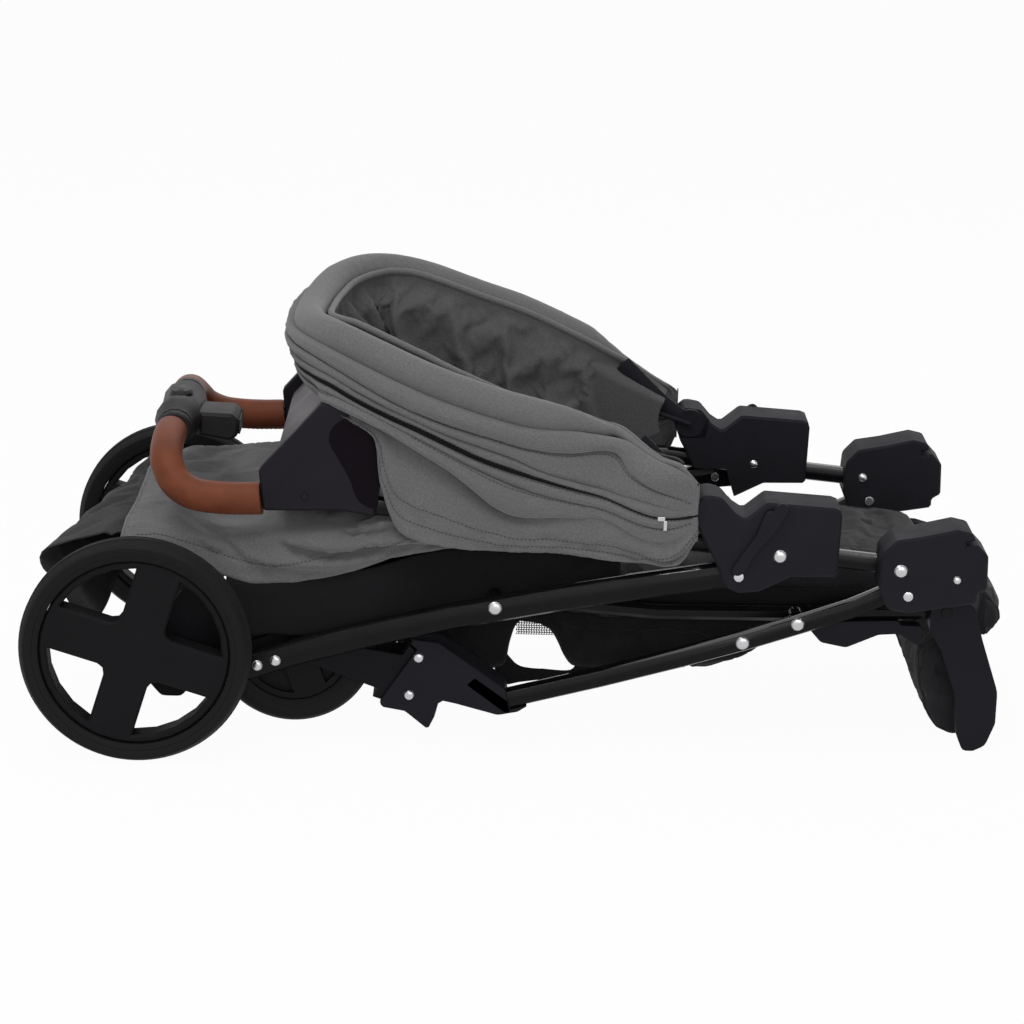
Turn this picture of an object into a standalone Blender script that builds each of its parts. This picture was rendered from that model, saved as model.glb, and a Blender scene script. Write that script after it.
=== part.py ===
"""Folding four-wheel pram, modelled folded flat as it is stored.

Side-view positions are (x, z) pairs in metres: x runs from the rear axle
towards the leg rest, z is the height above the floor.  Widths are distances
from the middle plane.  The near side is -Y and the far side is +Y.  When every
piece is made, the whole part is moved along X so that its origin is under its
middle.
"""
from math import atan2, cos, degrees, hypot, pi, radians, sin, sqrt

import bmesh
import bpy
from mathutils import Matrix, Vector

# Dimensions

GAP = 0.0003                       # clearance between touching pieces

REAR_TYRE_R = 0.115
REAR_TYRE_HALF = 0.018
REAR_RIM_R = REAR_TYRE_R - 0.020
REAR_WHEEL_Y = 0.225
FRONT_TYRE_R = 0.083
FRONT_TYRE_HALF = 0.014
FRONT_RIM_R = FRONT_TYRE_R - 0.024
FRONT_WHEEL_Y = 0.150
AXLE_R = 0.006
AXLE_END = 0.2340                  # the axle stops inside the hubs
FRONT_AXLE_R = 0.004

AXLE = (0.0, REAR_TYRE_R)          # rear axle, the hinge of the rear legs
MID = (0.5952, 0.1970)             # rear leg to push bar
FOLD = (0.7642, 0.1809)            # front leg to push bar
SEAT_REAR = (0.3546, 0.1565)       # seat frame to rear leg
SEAT_FRONT = (0.6586, 0.1413)      # seat frame to front leg, the open pivot
BACK_HINGE = (0.4664, 0.1380)      # backrest to seat frame
KNEE = (0.8120, 0.1480)            # leg rest to seat frame
CANOPY = (0.5635, 0.2634)          # canopy bows to push bar
FRONT_WHEEL = (0.1519, 0.1023)
SWIVEL = (0.2620, 0.0700)          # a point on the caster's swivel axis
SWIVEL_DEG = 146.4                 # the way the swivel axis points, to the wheel

FRAME_Y = 0.166                    # push bars and front legs
SEAT_Y = 0.1375
TUBE_HALF_Y = 0.009
REAR_LEG_Y = FRAME_Y + 2 * TUBE_HALF_Y + 0.001
REAR_LEG_HALF_Z = 0.0135
PUSH_HALF_Z = 0.0095
FRONT_LEG_HALF_Z = 0.0103
CHEEK_IN = FRAME_Y - TUBE_HALF_Y - 0.007       # inner and outer faces of the hinge housings
CHEEK_OUT = REAR_LEG_Y + TUBE_HALF_Y + 0.006

GRIP_R = 0.0163
GRIP_Y = 0.170
HUB_Y = 0.078
CONSOLE_Y = 0.176
ARM_Y = (CHEEK_IN + 0.0001, CHEEK_IN + 0.0060)   # the flat arms of the canopy bows
TRAY_Y = 0.160

ROLL_R = 0.0175
CLOTH = 0.0024
BOLT_R = 0.0058
BAR_R = 0.0065                     # cross bars of the seat frame
PIN_R = 0.0034                     # shaft of the through bolts

SIDES = (("near", -1.0), ("far", 1.0))

# Scene

for old in list(bpy.data.objects):
    bpy.data.objects.remove(old, do_unlink=True)

pram = bpy.data.collections.new("pram")
cutters = bpy.data.collections.new("cutters")
for group in (pram, cutters):
    bpy.context.scene.collection.children.link(group)
cutters.hide_render = True


def linear(value):
    """One 0-255 channel as the linear value that a material takes."""
    value /= 255
    return value / 12.92 if value <= 0.04045 else ((value + 0.055) / 1.055) ** 2.4


def material(name, rgb, roughness, metallic=0.0):
    made = bpy.data.materials.new(name)
    made.use_nodes = True
    shader = made.node_tree.nodes["Principled BSDF"]
    shader.inputs["Base Color"].default_value = [linear(c) for c in rgb] + [1.0]
    shader.inputs["Roughness"].default_value = roughness
    shader.inputs["Metallic"].default_value = metallic
    return made


TYRE = material("tyre_rubber", (30, 29, 33), 0.62)
WHEEL = material("wheel_plastic", (34, 33, 37), 0.45)
TUBE = material("frame_lacquer", (24, 24, 28), 0.28)
HINGE = material("hinge_plastic", (37, 36, 41), 0.42)
STEEL = material("bolt_steel", (196, 196, 198), 0.25, 1.0)
AXLE_STEEL = material("axle_steel", (120, 120, 124), 0.35, 1.0)
GRIP = material("grip_leather", (86, 43, 26), 0.48)
HUB = material("hub_plastic", (44, 43, 44), 0.40)
CONSOLE = material("console_plastic", (36, 32, 38), 0.45)
TRAY = material("tray_plastic", (78, 70, 76), 0.50)
GREY = material("grey_fabric", (97, 97, 97), 0.88)
SHADED = material("lining_fabric", (78, 78, 79), 0.90)
BLACK = material("black_fabric", (30, 29, 34), 0.85)

# Shapes


def turned_outline(outline, angle=0.0, centre=(0.0, 0.0)):
    """The outline turned by an angle about a centre."""
    c, s = cos(angle), sin(angle)
    turned = []
    for x, z in outline:
        dx, dz = x - centre[0], z - centre[1]
        turned.append((centre[0] + c * dx - s * dz, centre[1] + s * dx + c * dz))
    return turned


def circle(centre, radius, steps, start=0.0):
    return [
        (centre[0] + radius * cos(start + 2 * pi * i / steps),
         centre[1] + radius * sin(start + 2 * pi * i / steps))
        for i in range(steps)
    ]


def rounded(corners):
    """An outline whose corners, each (x, z, radius), are rounded off."""
    outline = []
    count = len(corners)
    for i, (x, z, radius) in enumerate(corners):
        if radius <= 0:
            outline.append((x, z))
            continue
        before = Vector((corners[i - 1][0] - x, corners[i - 1][1] - z))
        after = Vector((corners[(i + 1) % count][0] - x, corners[(i + 1) % count][1] - z))
        half = before.angle(after) / 2
        reach = min(radius / max(sin(half) / cos(half), 1e-6),
                    before.length * 0.49, after.length * 0.49)
        steps = 1 if radius <= 0.004 else 2
        a = Vector((x, z)) + before.normalized() * reach
        b = Vector((x, z)) + after.normalized() * reach
        for k in range(steps + 1):
            t = k / steps
            p = a * (1 - t) ** 2 + Vector((x, z)) * 2 * t * (1 - t) + b * t * t
            outline.append((p.x, p.y))
    return outline


def smooth(points, steps):
    """A rounded path through the points, with some steps between each two."""
    pts = [Vector(p) for p in points]
    ends = [2 * pts[0] - pts[1]] + pts + [2 * pts[-1] - pts[-2]]
    path = []
    for i in range(1, len(ends) - 2):
        p0, p1, p2, p3 = ends[i - 1:i + 3]
        for k in range(steps):
            t = k / steps
            path.append(0.5 * (2 * p1 + (p2 - p0) * t + (2 * p0 - 5 * p1 + 4 * p2 - p3) * t * t
                               + (3 * p1 - p0 - 3 * p2 + p3) * t ** 3))
    path.append(pts[-1])
    return path


def table(x, rows):
    """Straight-line reading of a short list of (x, value) rows."""
    if x <= rows[0][0]:
        return rows[0][1]
    for (x0, v0), (x1, v1) in zip(rows, rows[1:]):
        if x <= x1:
            return v0 + (v1 - v0) * (x - x0) / (x1 - x0)
    return rows[-1][1]


def prism(outline, y0, y1, holes=(), soften=0.0):
    """A plate: a side-view outline, with holes, from y0 to y1."""
    bm = bmesh.new()
    edges = []
    for loop in [outline, *holes]:
        verts = [bm.verts.new((x, y0, z)) for x, z in loop]
        edges += [bm.edges.new((verts[i - 1], verts[i])) for i in range(len(verts))]
    if holes:
        bmesh.ops.triangle_fill(bm, use_beauty=True, use_dissolve=False, edges=edges)
    else:
        bm.faces.new(verts)
    flat = bm.faces[:]
    moved = bmesh.ops.extrude_face_region(bm, geom=flat)["geom"]
    for v in moved:
        if isinstance(v, bmesh.types.BMVert):
            v.co.y = y1
    bmesh.ops.recalc_face_normals(bm, faces=bm.faces[:])
    if soften:
        rim = [e for e in bm.edges
               if abs(e.verts[0].co.y - e.verts[1].co.y) < 1e-7
               and len(e.link_faces) == 2 and e.calc_face_angle() > 1.0]
        bmesh.ops.bevel(bm, geom=rim, offset=soften, segments=1, profile=0.5,
                        affect="EDGES", clamp_overlap=True)
    return bm


def lathe(profile, centre, steps, closed=False):
    """A profile of (radius, y) turned about a line along Y through centre."""
    bm = bmesh.new()
    rings = []
    for radius, y in profile:
        if radius < 1e-6:
            rings.append([bm.verts.new((centre[0], y, centre[1]))])
        else:
            rings.append([bm.verts.new((x, y, z)) for x, z in circle(centre, radius, steps)])
    pairs = list(zip(rings, rings[1:]))
    if closed:
        pairs.append((rings[-1], rings[0]))
    for a, b in pairs:
        for i in range(steps):
            corner = [a[i - 1] if len(a) > 1 else a[0], a[i] if len(a) > 1 else a[0],
                      b[i] if len(b) > 1 else b[0], b[i - 1] if len(b) > 1 else b[0]]
            unique = list(dict.fromkeys(corner))
            if len(unique) > 2:
                bm.faces.new(unique)
    bmesh.ops.recalc_face_normals(bm, faces=bm.faces[:])
    return bm


def disc(centre, radius, y0, y1, steps=16):
    return lathe([(0, y0), (radius, y0), (radius, y1), (0, y1)], centre, steps)


def skin(rings, closed=False, capped=True):
    """Faces between rings of points, with flat caps on the first and last."""
    bm = bmesh.new()
    made = [[bm.verts.new(p) for p in ring] for ring in rings]
    pairs = list(zip(made, made[1:]))
    if closed:
        pairs.append((made[-1], made[0]))
    for a, b in pairs:
        for i in range(len(a)):
            bm.faces.new((a[i - 1], a[i], b[i], b[i - 1]))
    if capped and not closed:
        bm.faces.new(made[0])
        bm.faces.new(made[-1])
    bmesh.ops.recalc_face_normals(bm, faces=bm.faces[:])
    return bm


def tube(path, half_y, half_z, sides=12, power=2.0):
    """An oval tube along a path in one side-view plane, half_y wide in Y."""
    path = [Vector(p) for p in path]
    rings = []
    for i, p in enumerate(path):
        along = (path[min(i + 1, len(path) - 1)] - path[max(i - 1, 0)]).normalized()
        out = Vector((0, 1, 0))
        up = along.cross(out).normalized()
        ring = []
        for k in range(sides):
            a = 2 * pi * (k + 0.5) / sides
            c, s = cos(a), sin(a)
            fit = (abs(c) ** power + abs(s) ** power) ** (-1 / power)
            ring.append(p + out * half_y * c * fit + up * half_z * s * fit)
        rings.append(ring)
    return skin(rings)


def rod(path, radius, sides=10, swell=None):
    """A round rod along any path, its ring turned as little as possible."""
    path = [Vector(p) for p in path]
    rings = []
    side = None
    for i, p in enumerate(path):
        along = (path[min(i + 1, len(path) - 1)] - path[max(i - 1, 0)]).normalized()
        if side is None:
            side = along.orthogonal().normalized()
        side = (side - along * side.dot(along)).normalized()
        up = along.cross(side)
        r = radius * (swell(i / (len(path) - 1)) if swell else 1.0)
        rings.append([p + side * r * cos(2 * pi * k / sides) + up * r * sin(2 * pi * k / sides)
                      for k in range(sides)])
    return skin(rings)


def sheet(grid, thickness):
    """A closed cloth sheet from rows of points, thickened to both sides."""
    rows, cols = len(grid), len(grid[0])
    grid = [[Vector(p) for p in row] for row in grid]
    bm = bmesh.new()
    faces = []
    for sign in (1, -1):
        layer = []
        for i in range(rows):
            line = []
            for j in range(cols):
                du = grid[min(i + 1, rows - 1)][j] - grid[max(i - 1, 0)][j]
                dv = grid[i][min(j + 1, cols - 1)] - grid[i][max(j - 1, 0)]
                line.append(bm.verts.new(grid[i][j] + du.cross(dv).normalized() * sign * thickness / 2))
            layer.append(line)
        faces.append(layer)
    top, low = faces
    for i in range(rows - 1):
        for j in range(cols - 1):
            for layer in (top, low):
                bm.faces.new((layer[i][j], layer[i + 1][j], layer[i + 1][j + 1], layer[i][j + 1]))
    border = ([(0, j) for j in range(cols)] + [(i, cols - 1) for i in range(1, rows)]
              + [(rows - 1, j) for j in range(cols - 2, -1, -1)]
              + [(i, 0) for i in range(rows - 2, 0, -1)])
    for k in range(len(border)):
        (a, b), (c, d) = border[k - 1], border[k]
        bm.faces.new((top[a][b], top[c][d], low[c][d], low[a][b]))
    bmesh.ops.recalc_face_normals(bm, faces=bm.faces[:])
    return bm


def cushion(outline, half_width, crown, stations=4):
    """A padded prism: the outline keeps its size in the middle and draws in at the ends."""
    cx = sum(p[0] for p in outline) / len(outline)
    cz = sum(p[1] for p in outline) / len(outline)
    rings = []
    for k in range(2 * stations + 1):
        t = k / stations - 1
        edge = sqrt(max(0.0, 1 - abs(t) ** 6))
        scale = 1 - crown * (1 - edge)
        y = half_width * (abs(t) ** 0.7) * (1 if t > 0 else -1)
        rings.append([(cx + (x - cx) * scale, y, cz + (z - cz) * scale) for x, z in outline])
    return skin(rings)


def y_pair(low, high, side):
    return (side * low, side * high)


def bolt(centre, face, side, radius=BOLT_R, rise=0.0026):
    """A domed head that stands on a face and is rooted 1 mm in it."""
    return lathe([(0, face - side * 0.001), (radius, face - side * 0.001),
                  (radius * 0.85, face + side * rise * 0.70), (0, face + side * rise)], centre, 8)


def through_bolt(centre, outer, inner, side):
    """A pivot bolt with a domed head outside and a flat nut inside."""
    head, nut = outer + side * GAP, inner - side * GAP
    return lathe([(0, head + side * 0.0026), (BOLT_R * 0.85, head + side * 0.0018),
                  (BOLT_R, head), (PIN_R, head),
                  (PIN_R, nut), (0.0050, nut), (0.0050, nut - side * 0.0022),
                  (0, nut - side * 0.0022)], centre, 10)


def piece(name, bm, finish, origin=None, group=pram, sharp=32):
    """Turn a shape into a named object whose origin is on its joint's axis."""
    origin = Vector(origin) if origin else Vector((0, 0, 0))
    bmesh.ops.translate(bm, verts=bm.verts[:], vec=-origin)
    mesh = bpy.data.meshes.new(name)
    bm.to_mesh(mesh)
    bm.free()
    mesh.shade_smooth()
    mesh.set_sharp_from_angle(angle=radians(sharp))
    made = bpy.data.objects.new(name, mesh)
    made.location = origin
    group.objects.link(made)
    if finish:
        mesh.materials.append(finish)
    else:
        made.display_type = "WIRE"
        made.hide_render = True
    return made


def combine(target, name, bm, operation):
    other = piece(name, bm, None, group=cutters)
    step = target.modifiers.new(name, "BOOLEAN")
    step.operation = operation
    step.solver = "EXACT"
    step.object = other


def cut(target, name, bm):
    """Cut a shape out of a piece."""
    combine(target, name, bm, "DIFFERENCE")


def fuse(target, name, bm):
    """Join a shape to a piece, as one body."""
    combine(target, name, bm, "UNION")


def heads(target, name, face, side, spots):
    """Domed heads fused to a face; each spot is (centre, radius)."""
    for k, (centre, radius) in enumerate(spots):
        fuse(target, f"{name}_{k}", bolt(centre, face, side, radius))


# Wheels


def wheel_windows(centre, arm, rim, turn):
    """The four openings between the arms of the flat cross hub."""
    h = arm / 2
    corner = sqrt(rim * rim - h * h)
    start = atan2(h, corner)
    outer = [(rim * cos(a), rim * sin(a))
             for a in (start + (pi / 2 - 2 * start) * k / 4 for k in range(5))]
    fillet = 0.20 * arm
    inner = [(h, h + fillet), (h + 0.3 * fillet, h + 0.3 * fillet), (h + fillet, h)]
    window = [(centre[0] + x, centre[1] + z) for x, z in outer + inner]
    return [turned_outline(window, turn + k * pi / 2, centre) for k in range(4)]


def tyre(radius, rim, half, y):
    shoulder = radius - 0.30 * (radius - rim)
    return [(rim, y - half * 0.80), (rim + 0.005, y - half * 0.97), (shoulder, y - half),
            (radius - 0.003, y - half * 0.66), (radius, y - half * 0.20),
            (radius, y + half * 0.20), (radius - 0.003, y + half * 0.66), (shoulder, y + half),
            (rim + 0.005, y + half * 0.97), (rim, y + half * 0.80)]


piece("rear_axle", disc(AXLE, AXLE_R, -AXLE_END, AXLE_END, 12), AXLE_STEEL, (AXLE[0], 0, AXLE[1]))

for label, side in SIDES:
    y = side * REAR_WHEEL_Y
    centre = (AXLE[0], y, AXLE[1])
    piece(f"rear_tyre_{label}", lathe(tyre(REAR_TYRE_R, REAR_RIM_R, REAR_TYRE_HALF, y), AXLE, 32, True),
          TYRE, centre)
    hub = prism(circle(AXLE, REAR_RIM_R - GAP, 32), y - 0.0125, y + 0.0125,
                wheel_windows(AXLE, 0.045, REAR_RIM_R - 0.0085, radians(-17)), soften=0.0022)
    hub = piece(f"rear_hub_{label}", hub, WHEEL, centre)
    cut(hub, f"rear_hub_bore_{label}",
        disc(AXLE, AXLE_R + GAP, *y_pair(REAR_WHEEL_Y - 0.020, AXLE_END + GAP, side), steps=12))

    y = side * FRONT_WHEEL_Y
    centre = (FRONT_WHEEL[0], y, FRONT_WHEEL[1])
    piece(f"front_tyre_{label}",
          lathe(tyre(FRONT_TYRE_R, FRONT_RIM_R, FRONT_TYRE_HALF, y), FRONT_WHEEL, 24, True),
          TYRE, centre)
    hub = prism(circle(FRONT_WHEEL, FRONT_RIM_R - GAP, 24), y - 0.010, y + 0.010,
                [circle(FRONT_WHEEL, FRONT_AXLE_R + GAP, 10)])
    hub = piece(f"front_hub_{label}", hub, WHEEL, centre)
    for k, window in enumerate(wheel_windows(FRONT_WHEEL, 0.034, 0.052, radians(20))):
        cut(hub, f"front_dish_{label}_{k}",
            prism(window, *y_pair(FRONT_WHEEL_Y + 0.004, FRONT_WHEEL_Y + 0.012, side)))

# Rear legs

LEG_END_X = 0.106
CROSS = (0.045, 0.0950)            # the tube that joins the rear legs
CROSS_R = 0.0095
REAR_LEG_PATH = [(LEG_END_X, 0.0862), (0.160, 0.1040), (0.210, 0.1185), (0.310, 0.1440),
                 (0.410, 0.1645), (0.500, 0.1812), (MID[0], MID[1])]
BRACKET = rounded([
    (LEG_END_X + 0.0040, 0.0728, 0), (LEG_END_X - 0.0048, 0.0996, 0), (0.082, 0.1250, 0.006),
    (0.072, 0.1680, 0.005), (0.044, 0.1680, 0.005), (0.030, 0.1480, 0.008),
    (-0.020, 0.1400, 0.014), (-0.028, 0.1020, 0.014), (-0.004, 0.0860, 0.010),
    (0.022, 0.0560, 0.008), (0.042, 0.0560, 0.008), (0.058, 0.0740, 0.006)])

for label, side in SIDES:
    inner = side * (REAR_LEG_Y - TUBE_HALF_Y)
    outer = side * (REAR_LEG_Y + TUBE_HALF_Y)
    path = [(p[0], side * REAR_LEG_Y, p[1]) for p in REAR_LEG_PATH]
    leg = tube(path, TUBE_HALF_Y, REAR_LEG_HALF_Z, 12, 2.6)
    leg = piece(f"rear_leg_{label}", leg, TUBE, (AXLE[0], 0, AXLE[1]))
    cut(leg, f"rear_bore_{label}", disc(MID, PIN_R + GAP, 0.9 * inner, 1.1 * outer, 12))
    heads(leg, f"rear_bolt_{label}", outer, side,
          [(SEAT_REAR, BOLT_R), ((0.1362, 0.0960), 0.0046), ((0.1180, 0.0905), 0.0046)])
    bracket = prism(BRACKET, inner, outer,
                    [circle(AXLE, AXLE_R + GAP, 12), circle(CROSS, CROSS_R + GAP, 12)])
    piece(f"rear_bracket_{label}", bracket, HINGE, (AXLE[0], 0, AXLE[1]))

cross = REAR_LEG_Y + TUBE_HALF_Y
piece("rear_cross_tube", disc(CROSS, CROSS_R, -cross, cross, 12),
      TUBE, (AXLE[0], 0, AXLE[1]))

# The brake pedal turns on the cross tube.
PEDAL = rounded([(CROSS[0] - 0.012, CROSS[1] + 0.012, 0.006), (CROSS[0] - 0.052, CROSS[1] - 0.004, 0.003),
                 (CROSS[0] - 0.052, CROSS[1] - 0.013, 0.003), (CROSS[0] + 0.004, CROSS[1] - 0.014, 0.006),
                 (CROSS[0] + 0.014, CROSS[1] - 0.004, 0.006), (CROSS[0] + 0.012, CROSS[1] + 0.010, 0.006)])
pedal = prism(PEDAL, -0.036, 0.036, [circle(CROSS, CROSS_R + GAP, 24)])
piece("brake_pedal", pedal, HINGE, (CROSS[0], 0, CROSS[1]))

# Push frame

PUSH_START = (0.2345, 0.2524)
PUSH_END = (0.7660, 0.2023)


def on_push(x):
    """Height of the push bar's centre line."""
    slope = (PUSH_END[1] - PUSH_START[1]) / (PUSH_END[0] - PUSH_START[0])
    return PUSH_START[1] + slope * (x - PUSH_START[0])


MID_OUTLINE = rounded([
    (0.5825, 0.1850, 0.010), (0.5960, 0.1795, 0.010), (0.6160, 0.1815, 0.006),
    (0.6470, 0.1975, 0.004), (0.6930, 0.1985, 0.003), (0.6950, 0.2690, 0.008),
    (0.6200, 0.2735, 0.006), (0.5990, 0.2560, 0.004), (0.5880, 0.2630, 0.006),
    (CANOPY[0] + 0.012, CANOPY[1] + 0.014, 0.008), (CANOPY[0] - 0.006, CANOPY[1] + 0.017, 0.010),
    (CANOPY[0] - 0.018, CANOPY[1] + 0.002, 0.010), (CANOPY[0] - 0.010, CANOPY[1] - 0.020, 0.008),
    (0.5720, 0.2100, 0.006)])
FOLD_OUTLINE = rounded([
    (0.7440, 0.1660, 0.010), (0.7345, 0.1900, 0.010), (0.7370, 0.2240, 0.010),
    (0.7500, 0.2380, 0.006), (0.7760, 0.2425, 0.004), (0.8090, 0.2505, 0.003),
    (0.8250, 0.2470, 0.006), (0.8275, 0.2400, 0), (0.8195, 0.2375, 0), (0.8195, 0.2335, 0),
    (0.8310, 0.2350, 0), (0.8415, 0.2240, 0.006), (0.8425, 0.1900, 0.003), (0.8330, 0.1840, 0.003),
    (0.8330, 0.1745, 0.003), (0.7660, 0.1630, 0.008)])


BUTTON = rounded([(0.6095, 0.2400, 0.006), (0.6195, 0.2370, 0.006), (0.6330, 0.2600, 0.006),
                  (0.6290, 0.2660, 0.005), (0.6200, 0.2670, 0.006)])
BUTTON_AT = (0.6215, 0.2530)

for label, side in SIDES:
    bar = [(PUSH_START[0], side * FRAME_Y, PUSH_START[1]), (0.5200, side * FRAME_Y, on_push(0.52)),
           (PUSH_END[0], side * FRAME_Y, PUSH_END[1])]
    piece(f"push_bar_{label}", tube(bar, TUBE_HALF_Y, PUSH_HALF_Z, 12, 2.6), TUBE)

    # The mid housing holds the push bar and the top of the rear leg.
    housing = piece(f"mid_housing_{label}",
                    prism(MID_OUTLINE, *y_pair(CHEEK_IN, CHEEK_OUT, side), soften=0.0025), HINGE)
    mid_housing = housing
    channel = [(0.50, side * FRAME_Y, on_push(0.50)), (0.85, side * FRAME_Y, on_push(0.85))]
    cut(housing, f"mid_channel_{label}",
        tube(channel, TUBE_HALF_Y + GAP, PUSH_HALF_Z + GAP, 12, 2.6))
    reach = 0.0150
    slot = [(MID[0] - 0.060, 0.2120), (MID[0] - 0.008, MID[1] + reach), (MID[0] + 0.008, MID[1] + reach),
            (MID[0] + reach, MID[1] + 0.003), (MID[0] + reach + 0.0195, MID[1] - 0.060),
            (MID[0] - 0.060, MID[1] - 0.060)]
    cut(housing, f"mid_slot_{label}", prism(slot, *y_pair(FRAME_Y + TUBE_HALF_Y + GAP, REAR_LEG_Y + TUBE_HALF_Y + 0.0005, side)))
    inside = [(0.55, 0.2130), (MID[0] + 0.010, 0.2130), (MID[0] + 0.030, 0.150), (0.55, 0.150)]
    cut(housing, f"mid_relief_{label}", prism(inside, *y_pair(CHEEK_IN - 0.010, FRAME_Y + TUBE_HALF_Y + 0.0005, side)))
    recess = [(CANOPY[0] - 0.040, CANOPY[1] - 0.0165), (CANOPY[0] + 0.0170, CANOPY[1] - 0.0165),
              (CANOPY[0] + 0.0260, CANOPY[1] + 0.030), (CANOPY[0] - 0.040, CANOPY[1] + 0.030)]
    cut(housing, f"mid_recess_{label}", prism(recess, *y_pair(CHEEK_IN - 0.010, ARM_Y[1] + GAP, side)))
    cut(housing, f"mid_bore_{label}", disc(MID, PIN_R + GAP, *y_pair(REAR_LEG_Y, CHEEK_OUT + 0.010, side), steps=12))
    heads(housing, f"mid_head_{label}", side * CHEEK_OUT, side, [((0.6351, 0.2191), BOLT_R)])
    heads(housing, f"mid_nut_{label}", side * CHEEK_IN, -side, [((0.6351, 0.2191), 0.0046)])
    piece(f"mid_bolt_{label}", through_bolt(MID, side * CHEEK_OUT, side * (REAR_LEG_Y - TUBE_HALF_Y), side),
          STEEL)

    # The fold housing holds the push bar's end and the front leg's pivot.
    housing = piece(f"fold_housing_{label}",
                    prism(FOLD_OUTLINE, *y_pair(CHEEK_IN, CHEEK_OUT, side), soften=0.0025), HINGE)
    blind = [(0.70, side * FRAME_Y, on_push(0.70)),
             (PUSH_END[0] + GAP, side * FRAME_Y, on_push(PUSH_END[0]))]
    cut(housing, f"fold_bore_{label}",
        tube(blind, TUBE_HALF_Y + GAP, PUSH_HALF_Z + GAP, 12, 2.6))
    swing = [(0.70, 0.120), (0.70, FOLD[1] + 0.0112), (FOLD[0], FOLD[1] + 0.0112),
             (0.86, FOLD[1] + 0.0236), (0.86, 0.120)]
    cut(housing, f"fold_slot_{label}",
        prism(swing, *y_pair(FRAME_Y - TUBE_HALF_Y - 0.0008, FRAME_Y + TUBE_HALF_Y + 0.0008, side)))

    cut(housing, f"fold_hole_{label}", disc(FOLD, PIN_R + GAP, *y_pair(CHEEK_IN - 0.010, CHEEK_OUT + 0.010, side), steps=12))
    heads(housing, f"fold_head_{label}", side * CHEEK_OUT, side,
          [((0.7557, 0.2068), BOLT_R), ((0.8118, 0.1990), 0.0042)])
    heads(housing, f"fold_nut_{label}", side * CHEEK_IN, -side, [((0.7557, 0.2068), 0.0046)])
    piece(f"fold_bolt_{label}", through_bolt(FOLD, side * CHEEK_OUT, side * CHEEK_IN, side), STEEL)

    # The release button is a pill that stands proud of the mid housing.
    pocket = [(BUTTON_AT[0] + (x - BUTTON_AT[0]) * 1.06, BUTTON_AT[1] + (z - BUTTON_AT[1]) * 1.06)
              for x, z in BUTTON]
    cut(mid_housing, f"button_pocket_{label}",
        prism(pocket, *y_pair(CHEEK_OUT - 0.0042, CHEEK_OUT + 0.002, side)))
    piece(f"release_button_{label}", prism(BUTTON, *y_pair(CHEEK_OUT - 0.0010, CHEEK_OUT + 0.0042, side),
                                           soften=0.0018), HINGE)

# Console and handle

CONSOLE_OUTLINE = rounded([
    (0.1173, 0.2873, 0.004), (0.1214, 0.2462, 0.003), (0.1990, 0.2480, 0.008),
    (PUSH_START[0] - 0.0013, 0.2428, 0), (PUSH_START[0] - 0.0013, 0.2622, 0), (0.2408, 0.2822, 0.010),
    (0.2324, 0.3200, 0.018), (0.1990, 0.3550, 0.006), (0.1790, 0.3570, 0.006)])
TRAY_OUTLINE = rounded([
    (0.1290, 0.2840, 0.004), (0.1300, 0.2500, 0.004), (0.2260, 0.2540, 0.012),
    (0.2320, 0.2850, 0.012), (0.2230, 0.3160, 0.018), (0.1960, 0.3440, 0.008), (0.1830, 0.3440, 0.006)])
for label, side in SIDES:
    wing = piece(f"console_wing_{label}", prism(CONSOLE_OUTLINE, *y_pair(TRAY_Y + GAP, CONSOLE_Y, side),
                                                soften=0.0020), CONSOLE)
    heads(wing, f"console_screw_{label}", side * CONSOLE_Y, side, [((0.1632, 0.2622), 0.0040)])
piece("console_tray", prism(TRAY_OUTLINE, -TRAY_Y, TRAY_Y, soften=0.0015), TRAY)

GRIP_CUT = 0.100                   # slope of the cut where the grip meets the console
GRIP_PATH = [(0.1198, GRIP_Y, 0.2578), (0.0850, GRIP_Y, 0.2582), (0.0570, 0.1670, 0.2655),
             (0.0370, 0.1560, 0.2790), (0.0250, 0.1380, 0.2900), (0.0205, 0.1120, 0.2970),
             (0.0212, 0.0880, 0.3005), (0.0215, HUB_Y + GAP, 0.3005)]
for label, side in SIDES:
    path = smooth([(x, side * y, z) for x, y, z in GRIP_PATH], 2)
    grip = rod(path, GRIP_R, 12)
    for v in grip.verts:
        if v.co.x > GRIP_PATH[0][0] - 0.001:
            v.co.x -= GRIP_CUT * (v.co.z - GRIP_PATH[0][2])
        if abs(v.co.y) < HUB_Y + 0.003:
            v.co.y = side * (HUB_Y + GAP)
    piece(f"handle_grip_{label}", grip, GRIP)

HUB_AT = (0.0235, 0.3015)
ribs = [(0, -HUB_Y), (0.0165, -HUB_Y), (0.0182, -0.0755), (0.0182, -0.0680), (0.0166, -0.0670),
        (0.0166, -0.0640), (0.0188, -0.0625), (0.0192, -0.0530), (0.0235, -0.0400), (0.0215, 0.0)]
sleeve = ribs + [(r, -y) for r, y in reversed(ribs[:-1])]
hub = piece("handle_hub", lathe(sleeve, HUB_AT, 14), HUB)
TRIGGER_Y = 0.0265
TRIGGER = rounded([(0.0440, 0.2830, 0), (0.0760, 0.2775, 0.004), (0.0840, 0.2830, 0.004),
                   (0.0855, 0.2990, 0.005), (0.0780, 0.3060, 0.005), (0.0440, 0.3070, 0)])
pocket = [(0.0370, 0.2808), (0.0600, 0.2808), (0.0600, 0.3070 + GAP), (0.0370, 0.3070 + GAP)]
cut(hub, "trigger_pocket", prism(pocket, -TRIGGER_Y - GAP, TRIGGER_Y + GAP))
piece("fold_trigger", prism(TRIGGER, -TRIGGER_Y, TRIGGER_Y, soften=0.0030), HUB)
cover = lathe([(0, 0.3150), (0.0175, 0.3150), (0.0170, 0.3235), (0.0140, 0.3262), (0, 0.3270)], (0, 0), 12)
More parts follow.
